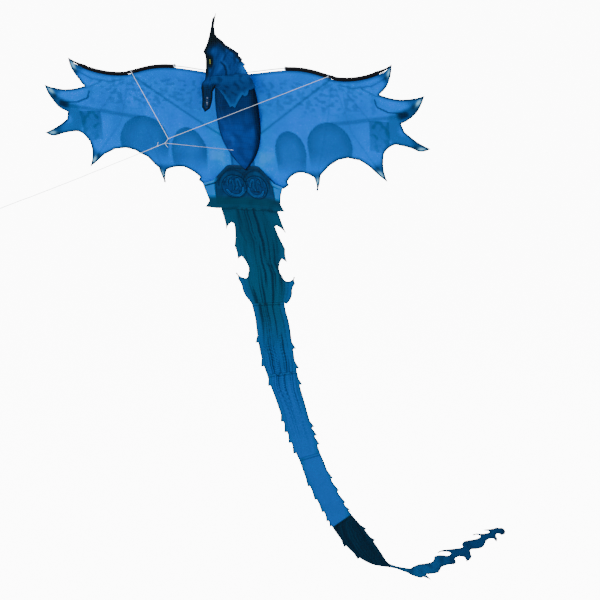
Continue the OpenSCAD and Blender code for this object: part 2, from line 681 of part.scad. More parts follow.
module bridle_top_knot() color("white") kite() knot(top_knot, [0, 0, 0.01]);
module bridle_pigtail() color("white") kite()
  bar(toward(top_knot, tow_knot, knot_d / 2 + 0.1), toward(tow_knot, top_knot, knot_d / 2 + 0.1), bridle_d);
module bridle_tow_knot() color("white") kite() knot(tow_knot, [10, -4, -12]);
module lower_bridle_leg() color("white") kite()
  bar(toward(tow_knot, low_knot, knot_d / 2 + 0.1), toward(low_knot, tow_knot, knot_d / 2 + 0.1), bridle_d);
module lower_bridle_knot() color("white") kite() knot(low_knot, [12, -8, 1]);
module tow_loop() color("white") kite()
  bar(toward(tow_knot, tow_eye, knot_d / 2 + 0.1), toward(tow_eye, tow_knot, knot_d / 2 + 0.1), bridle_d);

// ---------- flying line, from the tow point straight ahead, held taut ----------

line_route = [
  [0, -3, 0], [0, -60, -1], [0, -120, -1], [0, -180, -2], [0, -240, -2], [0, -300, -3],
  [0, -360, -3], [0, -420, -4], [0, -480, -4], [0, -540, -4], [0, -600, -4], [0, -660, -4],
  [0, -720, -3], [0, -780, -3], [0, -840, -3]
];
line_end = [0, -843, -3];
loop_l = 44;
loop_w = 22;

module line_knot() color("white") knot([0, 0, 0], [3, 0, 13]);
module flying_line() color("white") {
  fine = [for (i = [0 : 2 * (len(line_route) - 1)]) smooth_row(line_route, i / 2)];
  rod_along(fine, line_d);
}
// Knotted loop at the end of the line, where it ties to a winder
module line_end_loop() color("white") translate(line_end) {
  sphere(d = knot_d, $fn = 24);
  translate([0, -loop_l / 2 - knot_d / 3, 0]) {
    for (s = [-1, 1]) translate([s * (loop_w - line_d) / 2, 0, 0]) rotate([90, 0, 0])
      cylinder(h = loop_l - loop_w, d = line_d, center = true, $fn = 16);
    for (s = [-1, 1]) translate([0, s * (loop_l - loop_w) / 2, 0]) rotate([0, 0, s > 0 ? 0 : 180])
      rotate_extrude(angle = 180, $fn = 48) translate([(loop_w - line_d) / 2, 0]) circle(d = line_d, $fn = 16);
  }
}

spine_rod();
spine_top_cap();
spine_tail_cap();
centre_connector();
lower_connector();
left_inner_spar();
right_inner_spar();
left_wrist_joiner();
right_wrist_joiner();
left_strut();
right_strut();
left_inner_sleeve();
right_inner_sleeve();
left_inner_sail();
right_inner_sail();
body_panel();
belly_pouch();
hips_panel();
left_haunch_patch();
right_haunch_patch();
left_bridle_ring();
right_bridle_ring();
left_bridle_leg();
right_bridle_leg();
bridle_top_knot();
bridle_pigtail();
bridle_tow_knot();
lower_bridle_leg();
lower_bridle_knot();
tow_loop();
line_knot();
flying_line();
line_end_loop();
left_outer_spar();
right_outer_spar();
left_outer_sleeve();
right_outer_sleeve();
left_outer_sail();
right_outer_sail();
left_tip_batten();
right_tip_batten();
left_batten_pocket();
right_batten_pocket();
left_spar_cap();
right_spar_cap();
head_panel();
head_crest();
head_eye();
horn_rod();
horn_rod_sleeve();
tail_barbed();
tail_upper();
tail_middle();
tail_lower();
tail_dark();
tail_flame();
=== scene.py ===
"""Single-line dragon kite: two framed wings, a puffed belly, a profile head and a long ribbon tail.

Every length is in metres. Points are in the row's frame, +Z up and -Y towards the flyer, unless a
docstring says kite frame, whose zero is the middle of the leading edge at wrist level.
"""

import json
import logging
import math
from dataclasses import dataclass, field
from enum import Enum
from typing import Callable, Optional, Sequence

import bpy
import numpy as np
from mathutils import Matrix, Vector, noise
from mathutils.geometry import delaunay_2d_cdt

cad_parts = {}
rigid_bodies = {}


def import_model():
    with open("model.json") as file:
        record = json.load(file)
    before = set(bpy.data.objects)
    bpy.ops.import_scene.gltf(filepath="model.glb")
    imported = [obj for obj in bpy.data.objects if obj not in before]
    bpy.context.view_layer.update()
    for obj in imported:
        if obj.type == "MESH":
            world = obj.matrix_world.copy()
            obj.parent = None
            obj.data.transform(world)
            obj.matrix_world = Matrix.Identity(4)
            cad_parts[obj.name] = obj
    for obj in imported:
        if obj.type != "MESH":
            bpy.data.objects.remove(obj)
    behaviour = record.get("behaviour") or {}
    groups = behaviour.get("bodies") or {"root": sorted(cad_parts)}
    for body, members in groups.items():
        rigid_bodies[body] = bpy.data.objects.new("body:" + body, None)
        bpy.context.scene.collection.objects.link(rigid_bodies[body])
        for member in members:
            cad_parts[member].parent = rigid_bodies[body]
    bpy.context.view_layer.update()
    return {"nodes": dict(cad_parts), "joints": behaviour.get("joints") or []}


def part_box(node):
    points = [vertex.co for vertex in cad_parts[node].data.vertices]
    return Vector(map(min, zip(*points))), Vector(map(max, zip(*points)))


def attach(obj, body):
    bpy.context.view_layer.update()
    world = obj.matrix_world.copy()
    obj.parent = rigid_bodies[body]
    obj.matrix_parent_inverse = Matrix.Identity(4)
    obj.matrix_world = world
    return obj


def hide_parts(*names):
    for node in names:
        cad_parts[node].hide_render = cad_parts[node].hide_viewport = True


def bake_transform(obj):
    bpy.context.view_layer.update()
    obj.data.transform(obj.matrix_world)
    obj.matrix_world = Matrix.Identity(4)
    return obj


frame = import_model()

KITE_ZERO = np.array([0.0, 0.456, 0.137])
# Half width of the body panel, the wrists' distance from the middle, and how the body leans back
ROOT, WRIST = 0.04, 0.367
BODY_BACK, BODY_SLOPE = 0.025, 0.13
HINGES = {joint["name"]: joint for joint in frame["joints"]}
Piece, Finish, Socket = bpy.types.Object, bpy.types.Material, bpy.types.NodeSocket
Shape = tuple[np.ndarray, list[tuple[int, ...]]]
# Scale of a wave texture whose bands lie a metre apart
METRE_BANDS = 0.31416
log = logging.getLogger("dragon_kite")


class Side(Enum):
    """Wing side, by the sign of its X."""

    LEFT = -1
    RIGHT = 1

    @property
    def word(self) -> str:
        """Name of the side as the CAD nodes spell it."""
        return self.name.lower()


# ---------- measuring and shaping helpers ----------


def linear(tint: Sequence[int]) -> np.ndarray:
    """Screen colour as linear light.

    Args:
        tint: red, green and blue from 0 to 255.

    Returns:
        The three linear values from 0 to 1.
    """
    share = np.asarray(tint, float) / 255
    return np.where(share <= 0.04045, share / 12.92, ((share + 0.055) / 1.055) ** 2.4)


def dye(tint: Sequence[int]) -> np.ndarray:
    """Cloth dye that shows as a screen colour under soft light: purer and deeper than the plain colour.

    Args:
        tint: red, green and blue from 0 to 255.

    Returns:
        The three linear values from 0 to 1.
    """
    red, green, blue = linear(tint)
    deeper = (red * min(1.0, 0.05 + red * 3), min(0.9, green * 1.02), min(0.96, blue * (1 + 0.5 * blue)))
    return np.array(deeper)


def smooth(low: float, high: float, value: np.ndarray) -> np.ndarray:
    """Soft step from 0 at low to 1 at high.

    Args:
        low: value where the step starts.
        high: value where it ends; it may be below low.
        value: what is compared.

    Returns:
        The share for each value.
    """
    t = np.clip((value - low) / (high - low), 0, 1)
    return t * t * (3 - 2 * t)


def gap_to(points: np.ndarray, line: np.ndarray, closed: bool = False) -> np.ndarray:
    """Distance from flat points to a polyline.

    Args:
        points: rows of two coordinates.
        line: rows of two coordinates along the polyline.
        closed: whether the last point joins the first.

    Returns:
        The distance of each point.
    """
    a = np.asarray(line, float)
    b = np.roll(a, -1, axis=0) if closed else a[1:]
    a = a if closed else a[:-1]
    along = b - a
    size = np.maximum((along**2).sum(1), 1e-18)
    best = np.full(len(points), 1e9)
    for start, step, square in zip(a, along, size):
        t = np.clip(((points - start) @ step) / square, 0, 1)
        away = points - start - t[:, None] * step
        best = np.minimum(best, (away**2).sum(1))
    return np.sqrt(best)


def inside(points: np.ndarray, loop: np.ndarray) -> np.ndarray:
    """Whether flat points lie within a closed outline.

    Args:
        points: rows of two coordinates.
        loop: the outline's corners.

    Returns:
        True for each point inside.
    """
    x, y = points[:, 0], points[:, 1]
    odd = np.zeros(len(points), bool)
    for (ax, ay), (bx, by) in zip(loop, np.roll(loop, -1, axis=0)):
        crosses = (ay > y) != (by > y)
        if ay != by:
            odd ^= crosses & (x < (bx - ax) * (y - ay) / (by - ay) + ax)
    return odd


def mottle(points: np.ndarray, size: float, seed: float) -> np.ndarray:
    """Soft random patches over flat or solid points.

    Args:
        points: rows of two or three coordinates.
        size: width of a patch.
        seed: moves the pattern.

    Returns:
        A value from -1 to 1 for each point.
    """
    shifted = np.zeros((len(points), 3))
    shifted[:, : points.shape[1]] = points / size
    shifted[:, 2] += seed
    return np.array([noise.noise(Vector(row)) for row in shifted])


def evenly(loop: np.ndarray, step: float) -> np.ndarray:
    """Outline with each edge split into equal parts no longer than a step, its corners kept.

    Args:
        loop: the outline's corners.
        step: longest part.

    Returns:
        The new outline.
    """
    rows = []
    for a, b in zip(loop, np.roll(loop, -1, axis=0)):
        parts = max(1, math.ceil(np.linalg.norm(b - a) / step))
        rows += [a + (b - a) * i / parts for i in range(parts)]
    return np.array(rows)


def face_outline(nodes: Sequence[str], facing: Sequence[float], cut: Optional[float] = None) -> np.ndarray:
    """Outline of the face of flat CAD nodes that looks one way.

    Args:
        nodes: CAD node names, whose faces are joined into one outline.
        facing: direction that the wanted face looks in.
        cut: distance from X = 0 of a seam whose two edges are joined, if there is one.

    Returns:
        Points round the outline, in the kite frame.
    """
    facing = np.asarray(facing, float) / np.linalg.norm(facing)
    places: dict[tuple, np.ndarray] = {}
    count: dict[frozenset, int] = {}
    for node in nodes:
        mesh = frame["nodes"][node].data
        for face in mesh.polygons:
            if np.dot(np.array(face.normal), facing) < 0.7:
                continue
            keys = []
            for i in face.vertices:
                p = np.array(mesh.vertices[i].co) - KITE_ZERO
                keys.append(tuple(np.round(p, 5)))
                places[keys[-1]] = p
            for a, b in zip(keys, keys[1:] + keys[:1]):
                if a != b:
                    count[frozenset((a, b))] = count.get(frozenset((a, b)), 0) + 1
    rim = [tuple(edge) for edge, times in count.items() if times == 1]
    if cut is not None:
        rim = [edge for edge in rim if any(abs(abs(key[0]) - cut) >= 0.0012 for key in edge)]
    links: dict[tuple, list[tuple]] = {}
    for a, b in rim:
        links.setdefault(a, []).append(b)
        links.setdefault(b, []).append(a)
    ends = [key for key, near in links.items() if len(near) == 1]
    while len(ends) > 1:
        a = ends.pop()
        b = min(ends, key=lambda key: math.dist(key, a))
        ends.remove(b)
        links[a].append(b)
        links[b].append(a)
    start = min(links)
    path, before, here = [start], None, start
    while True:
        ahead = [key for key in links[here] if key != before]
        before, here = here, ahead[0]
        if here == start or len(path) > len(links):
            break
        path.append(here)
    return np.array([places[key] for key in path])


def anticlockwise(loop: np.ndarray) -> np.ndarray:
    """Outline turned, if need be, so that it runs anticlockwise.

    Args:
        loop: flat corners.

    Returns:
        The same corners in order.
    """
    after = np.roll(loop, -1, axis=0)
    area = (loop[:, 0] * after[:, 1] - after[:, 0] * loop[:, 1]).sum()
    return loop if area > 0 else loop[::-1]


def net(loop: np.ndarray, step: float) -> Shape:
    """Fine even triangles over a flat outline.

    Args:
        loop: the outline's corners.
        step: width of a triangle.

    Returns:
        Flat points and triangles, turned to face -Y once stood up.
    """
    ring = evenly(loop, step * 0.8)
    low, high = ring.min(0), ring.max(0)
    rows = np.arange(low[1], high[1], step * 0.87)
    columns = np.arange(low[0], high[0], step)
    grid = np.array([(x + (0.5 * step if i % 2 else 0), y) for i, y in enumerate(rows) for x in columns])
    if len(grid):
        grid = grid[inside(grid, ring)]
    if len(grid):
        grid = grid[gap_to(grid, ring, True) > step * 0.45]
    points = [Vector(p) for p in (np.vstack([ring, grid]) if len(grid) else ring)]
    edges = [(i, (i + 1) % len(ring)) for i in range(len(ring))]
    flat, _, faces, *_ = delaunay_2d_cdt(points, edges, [], 1, 1e-7)
    return np.array([tuple(p) for p in flat]), [tuple(f) for f in faces]


def sharp_tips(ring: np.ndarray, reach: float, widest: float) -> list[tuple[np.ndarray, np.ndarray]]:
    """Pointed corners of an outline that runs anticlockwise.

    Args:
        ring: evenly spaced outline.
        reach: distance along the edge, each way, over which a corner's angle is taken.
        widest: widest angle of a tip in degrees.

    Returns:
        Each tip and the unit direction from it into the cloth.
    """
    after = np.roll(ring, -1, axis=0)
    n = max(2, round(reach / np.linalg.norm(after - ring, axis=1).mean()))
    back, ahead = np.roll(ring, n, axis=0) - ring, np.roll(ring, -n, axis=0) - ring
    back = back / np.linalg.norm(back, axis=1)[:, None]
    ahead = ahead / np.linalg.norm(ahead, axis=1)[:, None]
    angle = np.degrees(np.arccos(np.clip((back * ahead).sum(1), -1, 1)))
    turn = ahead[:, 0] * back[:, 1] - ahead[:, 1] * back[:, 0]
    found: list[tuple[np.ndarray, np.ndarray]] = []
    for i in np.argsort(angle):
        if angle[i] > widest:
            break
        if turn[i] <= 0 or any(np.linalg.norm(ring[i] - tip) < reach for tip, _ in found):
            continue
        middle = back[i] + ahead[i]
        found.append((ring[i], middle / np.linalg.norm(middle)))
    return found


def new_piece(name: str, points: np.ndarray, faces: Sequence[Sequence[int]], finish: Finish,
              soft_shade: bool = True) -> Piece:
    """Mesh object from row-frame points.

    Args:
        name: piece name.
        points: rows of three coordinates.
        faces: point numbers of each face.
        finish: material that dresses it.
        soft_shade: whether faces blend into each other.

    Returns:
        The object, linked to the scene.
    """
    mesh = bpy.data.meshes.new(name)
    mesh.from_pydata([tuple(map(float, p)) for p in points], [], [tuple(map(int, f)) for f in faces])
    mesh.validate()
    mesh.materials.append(finish)
    if soft_shade:
        mesh.shade_smooth()
    piece = bpy.data.objects.new(name, mesh)
    bpy.context.scene.collection.objects.link(piece)
    log.info("%s: %d faces", name, len(mesh.polygons))
    return piece


def fit(piece: Piece, body: str = "", stands_for: Sequence[str] = ()) -> None:
    """Tie a piece to the frame.

    Args:
        piece: the piece.
        body: body that it rides on whole, if it doesn't bend.
        stands_for: CAD nodes that it replaces.
    """
    if stands_for:
        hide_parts(*stands_for)
    if body:
        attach(piece, body)


def corners_of(node: str) -> np.ndarray:
    """Every corner of a CAD node's mesh, in the row frame."""
    return np.array([tuple(v.co) for v in frame["nodes"][node].data.vertices])


def box_round(count: int) -> list[tuple[int, ...]]:
    """Faces round a strip made of four rows of points, with open ends."""
    return [(j * count + i, j * count + i + 1, (j + 1) % 4 * count + i + 1, (j + 1) % 4 * count + i)
            for i in range(count - 1) for j in range(4)]


def two_layers(front: np.ndarray, back: np.ndarray, faces: Sequence[tuple[int, ...]]) -> Shape:
    """Closed shape of two layers that share a net, joined round their edge.

    Args:
        front: points of the first layer.
        back: points of the second layer.
        faces: the first layer's faces.

    Returns:
        Points and faces.
    """
    n = len(front)
    edges = dict.fromkeys((a, b) for f in faces for a, b in zip(f, f[1:] + f[:1]))
    shapes = [*faces, *(tuple(i + n for i in f)[::-1] for f in faces)]
    shapes += [(b, a, a + n, b + n) for a, b in edges if (b, a) not in edges]
    return np.vstack([front, back]), shapes


def wrinkle(far: float, angle: float) -> float:
    """Small folds of a cloth tube, from the distance along it and the angle round it."""
    return noise.noise(Vector((far * 90, math.cos(angle), math.sin(angle))))


def tube(path: np.ndarray, radius: float, sides: int = 8, closed: bool = False,
         swell: Optional[Callable[[float, float], float]] = None) -> Shape:
    """Round tube along a path.

    Args:
        path: rows of three coordinates.
        radius: its radius.
        sides: faces round it.
        closed: whether it joins its own start.
        swell: radius factor from the distance along and the angle round, if it isn't plain.

    Returns:
        Points and faces.
    """
    path = np.asarray(path, float)
    if closed:
        heading = np.roll(path, -1, axis=0) - np.roll(path, 1, axis=0)
    else:
        heading = np.gradient(path, axis=0)
    heading = heading / np.maximum(np.linalg.norm(heading, axis=1), 1e-12)[:, None]
    side = np.cross(heading[0], [0.31, 0.17, 0.93])
    side = side / np.linalg.norm(side)
    run = np.concatenate([[0], np.cumsum(np.linalg.norm(np.diff(path, axis=0), axis=1))])
    points = []
    for centre, ahead, far in zip(path, heading, run):
        side = side - ahead * np.dot(side, ahead)
        side = side / np.linalg.norm(side)
        up = np.cross(ahead, side)
        for k in range(sides):
            angle = 2 * math.pi * k / sides
            r = radius * (swell(far, angle) if swell else 1)
            points.append(centre + r * (math.cos(angle) * side + math.sin(angle) * up))
    rings = len(path)
    faces = [
        (i * sides + k, i * sides + (k + 1) % sides,
         (i + 1) % rings * sides + (k + 1) % sides, (i + 1) % rings * sides + k)
        for i in range(rings if closed else rings - 1)
        for k in range(sides)
    ]
    if not closed:
        faces += [tuple(range(sides))[::-1], tuple((rings - 1) * sides + k for k in range(sides))]
    return np.array(points), faces


def along_line(points: Sequence[Sequence[float]], step: float) -> np.ndarray:
    """Points a step apart along a polyline.

    Args:
        points: the polyline.
        step: distance between the new points.

    Returns:
        The new points, with both ends kept.
    """
    points = np.asarray(points, float)
    run = np.concatenate([[0], np.cumsum(np.linalg.norm(np.diff(points, axis=0), axis=1))])
    count = max(2, round(run[-1] / step) + 1)
    wanted = np.linspace(0, run[-1], count)
    return np.stack([np.interp(wanted, run, points[:, i]) for i in range(points.shape[1])], axis=1)


def joined(parts: Sequence[tuple[np.ndarray, Sequence[Sequence[int]]]]) -> Shape:
    """Several point and face lists as one.

    Args:
        parts: pairs of points and faces.

    Returns:
        All points and all faces.
    """
    points, faces, first = [], [], 0
    for some, shapes in parts:
        points.append(some)
        faces += [tuple(i + first for i in face) for face in shapes]
        first += len(some)
    return np.vstack(points), faces


@dataclass
class Paint:
    """Colour laid on cloth in layers, one colour for each point: dye and print, with painted highlights and
    painted shadows on the wings.
    """

    count: int
    ground: tuple[int, int, int]
    colour: np.ndarray = field(init=False)

    def __post_init__(self) -> None:
        """Lay the ground colour."""
        self.colour = np.tile(dye(self.ground), (self.count, 1))

    def wash(self, tint: Sequence[int], cover: np.ndarray) -> "Paint":
        """Lay a tint over what is there.

        Args:
            tint: screen colour from 0 to 255.
            cover: share of the tint at each point.

        Returns:
            This paint, for more layers.
        """
        share = np.clip(cover, 0, 1)[:, None]
        self.colour = self.colour * (1 - share) + dye(tint) * share
        return self


# ---------- finishes ----------


class Nodes:
    """Short hand for wiring one material's nodes."""

    def __init__(self, name: str) -> None:
        """Start an empty material.

        Args:
            name: its name.
        """
        self.material = bpy.data.materials.new(name)
        self.material.use_nodes = True
        self.tree = self.material.node_tree
        self.tree.nodes.clear()

    def add(self, kind: str, **values: object) -> bpy.types.Node:
        """Add a node.

        Args:
            kind: Blender's node type without its ShaderNode prefix.
            values: node properties.

        Returns:
            The node.
        """
        node = self.tree.nodes.new("ShaderNode" + kind)
        for key, value in values.items():
            setattr(node, key, value)
        return node

    def feed(self, source: Socket, target: Socket) -> None:
        """Join two sockets."""
        self.tree.links.new(source, target)

    def put(self, node: bpy.types.Node, **values: object) -> None:
        """Set a node's inputs by name, with _ for a space."""
        for key, value in values.items():
            node.inputs[key.replace("_", " ")].default_value = value

    def sums(self, operation: str, a: object, b: object) -> Socket:
        """Math on two numbers or sockets.

        Args:
            operation: Blender's name of it.
            a: first number or socket.
            b: second number or socket.

        Returns:
            The result's socket.
        """
        node = self.add("Math", operation=operation)
        for i, value in enumerate((a, b)):
            if isinstance(value, Socket):
                self.feed(value, node.inputs[i])
            else:
                node.inputs[i].default_value = value
        return node.outputs[0]

    def blend(self, share: object, a: object, b: object, way: str = "MIX") -> Socket:
        """Mix of two colours.

        Args:
            share: number or socket for the second colour's share.
            a: first colour or socket.
            b: second colour or socket.
            way: Blender's name of the mix.

        Returns:
            The mixed colour's socket.
        """
        node = self.add("Mix", data_type="RGBA", blend_type=way)
        for i, value in ((0, share), (6, a), (7, b)):
            if isinstance(value, Socket):
                self.feed(value, node.inputs[i])
            else:
                node.inputs[i].default_value = value
        return node.outputs[2]

    def bands(self, cut: bpy.types.Node, way: str, apart: float, bend: float) -> Socket:
        """Soft stripes on the flat cut.

        Args:
            cut: node that gives the cut's coordinates.
            way: axis across the stripes.
            apart: distance between them in metres.
            bend: how far they wander.

        Returns:
            Their strength's socket.
        """
        band = self.add("TexWave", wave_type="BANDS", bands_direction=way)
        self.put(band, Scale=METRE_BANDS / apart, Distortion=bend)
        self.feed(cut.outputs[0], band.inputs["Vector"])
        return band.outputs["Fac"]

    def cloud(self, place: bpy.types.Node, **values: float) -> Socket:
        """Noise at a node's coordinates.

        Args:
            place: node that gives the coordinates.
            values: the noise's inputs.

        Returns:
            Its strength's socket.
        """
        cloud = self.add("TexNoise")
        self.put(cloud, **values)
        self.feed(place.outputs[0], cloud.inputs["Vector"])
        return cloud.outputs["Fac"]

    def mingle(self, share: float, first: bpy.types.Node, second: bpy.types.Node) -> bpy.types.Node:
        """Shader with a share of the second of two."""
        both = self.add("MixShader")
        self.put(both, Fac=share)
        self.feed(first.outputs[0], both.inputs[1])
        self.feed(second.outputs[0], both.inputs[2])
        return both

    def close(self, shader: Socket) -> Finish:
        """Finish with this shader on the surface."""
        out = self.add("OutputMaterial")
        self.feed(shader, out.inputs["Surface"])
        return self.material


@dataclass(frozen=True)
class KiteCloth:
    """Thin woven nylon or polyester, printed, with a ripstop grid and light coming through."""

    name: str
    roughness: float = 0.42
    through: float = 0.42
    clear: float = 0.04
    grid: float = 0.006
    weave: float = 0.0009
    grid_light: float = 0.035
    creases: float = 0.5

    def dress(self) -> Finish:
        """Make the material.

        Returns:
            A material that reads the paint from the mesh.
        """
        n = Nodes(self.name)
        paint = n.add("Attribute", attribute_name="paint")
        cut = n.add("UVMap", uv_map="cut")
        lines = [n.sums("GREATER_THAN", n.bands(cut, way, self.grid, 0.0), 0.93) for way in ("X", "Y")]
        grid = n.sums("MAXIMUM", *lines)
        weave = n.sums("MULTIPLY", *(n.bands(cut, way, self.weave, 0.4) for way in ("X", "Y")))
        uneven = n.cloud(cut, Scale=26.0, Detail=4.0, Roughness=0.6)
        crease = n.cloud(cut, Scale=9.0, Detail=5.0, Roughness=0.55, Distortion=0.8)
        shade = n.sums("ADD", n.sums("MULTIPLY", uneven, 0.22), 0.89)
        grey = n.add("CombineColor")
        for channel in grey.inputs:
            n.feed(shade, channel)
        worn = n.blend(1.0, paint.outputs["Color"], grey.outputs[0], "MULTIPLY")
        pale = n.blend(self.grid_light, worn, (0.1, 0.6, 1.0, 1.0), "SCREEN")
        colour = n.blend(grid, worn, pale)
        colour = n.blend(n.sums("MULTIPLY", weave, 0.05), colour, (0, 0, 0, 1))
        height = n.sums("ADD", n.sums("MULTIPLY", crease, self.creases),
                        n.sums("ADD", n.sums("MULTIPLY", grid, 0.04), n.sums("MULTIPLY", weave, 0.02)))
        bump = n.add("Bump")
        n.put(bump, Strength=0.35, Distance=0.006)
        n.feed(height, bump.inputs["Height"])
        face = n.add("BsdfPrincipled")
        n.put(face, Specular_IOR_Level=0.1)
        n.feed(colour, face.inputs["Base Color"])
        rough = n.sums("ADD", n.sums("MULTIPLY", crease, 0.16), self.roughness - 0.08)
        n.feed(rough, face.inputs["Roughness"])
        n.feed(bump.outputs[0], face.inputs["Normal"])
        lit = n.add("BsdfTranslucent")
        n.feed(colour, lit.inputs["Color"])
        n.feed(bump.outputs[0], lit.inputs["Normal"])
        cloth = n.mingle(self.through, face, lit)
        if self.clear <= 0:
            return n.close(cloth.outputs[0])
        hole = n.add("BsdfTransparent")
        n.put(hole, Color=(0.0, 0.3, 0.62, 1.0))
        return n.close(n.mingle(self.clear, cloth, hole).outputs[0])


@dataclass(frozen=True)
class Solid:
    """Moulded plastic, drawn rod, sewn webbing or thread: a ground colour with a grain."""

    name: str
    tint: tuple[int, int, int]
    second: tuple[int, int, int]
    roughness: float = 0.45
    metal: float = 0.0
    coat: float = 0.0
    sheen: float = 0.0
    shine: float = 0.45
    grain: tuple[float, float, float] = (120.0, 120.0, 120.0)
    depth: float = 0.0004
    twill: float = 0.0

    def dress(self) -> Finish:
        """Make the material.

        Returns:
            The finished material.
        """
        n = Nodes(self.name)
        place = n.add("TexCoord")
        stretch = n.add("Mapping")
        n.put(stretch, Scale=self.grain)
        n.feed(place.outputs["Object"], stretch.inputs["Vector"])
        grain = n.cloud(stretch, Scale=1.0, Detail=6.0, Roughness=0.65)
        height = grain
        if self.twill:
            ribs = n.add("TexWave", wave_type="BANDS", bands_direction="DIAGONAL")
            n.put(ribs, Scale=METRE_BANDS / self.twill, Distortion=0.6, Detail=1.0)
            n.feed(place.outputs["Object"], ribs.inputs["Vector"])
            height = n.sums("MULTIPLY", ribs.outputs["Fac"], grain)
        colour = n.blend(height, (*linear(self.tint), 1.0), (*linear(self.second), 1.0))
        bump = n.add("Bump")
        n.put(bump, Strength=0.4, Distance=self.depth)
        n.feed(height, bump.inputs["Height"])
        face = n.add("BsdfPrincipled")
        n.put(face, Metallic=self.metal, Coat_Weight=self.coat, Sheen_Weight=self.sheen,
              Specular_IOR_Level=self.shine)
        n.feed(colour, face.inputs["Base Color"])
        rough = n.sums("ADD", n.sums("MULTIPLY", grain, 0.2), self.roughness - 0.1)
        n.feed(rough, face.inputs["Roughness"])
        n.feed(bump.outputs[0], face.inputs["Normal"])
        return n.close(face.outputs[0])


class Wardrobe:
    """Every finish of the kite, made once."""

    def __init__(self) -> None:
        """Make the materials."""
        self.wing = KiteCloth("wing_cloth").dress()
        self.belly = KiteCloth("belly_cloth", through=0.25, clear=0.0, creases=0.8).dress()
        self.head = KiteCloth("head_cloth", through=0.25, clear=0.0).dress()
        self.hips = KiteCloth("hips_cloth", through=0.3, clear=0.0).dress()
        self.tail = KiteCloth("tail_cloth", through=0.36, clear=0.03).dress()
        self.tail_end = KiteCloth("tail_end_cloth", through=0.4, clear=0.05).dress()
        self.hem = KiteCloth("hem_tape", through=0.1, clear=0.0, grid_light=0.02).dress()
        self.black = Solid("black_sleeve", (4, 6, 10), (13, 17, 27), 0.7, shine=0.15, twill=0.0016).dress()
        self.red = Solid("red_pocket", (74, 10, 16), (110, 22, 28), 0.6, sheen=0.3, twill=0.0014).dress()
        self.moulded = Solid("moulded_black", (14, 15, 18), (30, 32, 36), 0.38, coat=0.1).dress()
        upright, level = (300, 300, 18), (18, 300, 300)
        dark = Solid("dark_rod", (22, 23, 26), (52, 54, 58), 0.3, coat=0.4, grain=upright)
        self.dark_rod = dark.dress()
        pale = Solid("pale_rod", (176, 175, 168), (206, 204, 196), 0.35, coat=0.3, grain=level)
        self.pale_rod = pale.dress()
        cord = Solid("white_cord", (226, 240, 255), (246, 250, 255), 0.5, shine=0.4, twill=0.0011)
        self.cord = cord.dress()
        self.thread = Solid("sewing_thread", (5, 20, 46), (12, 44, 84), 0.7, shine=0.1, twill=0.0006).dress()
        self.eye = Solid("eye_cloth", (116, 126, 24), (150, 156, 50), 0.35, coat=0.3).dress()


# ---------- cloth pieces ----------


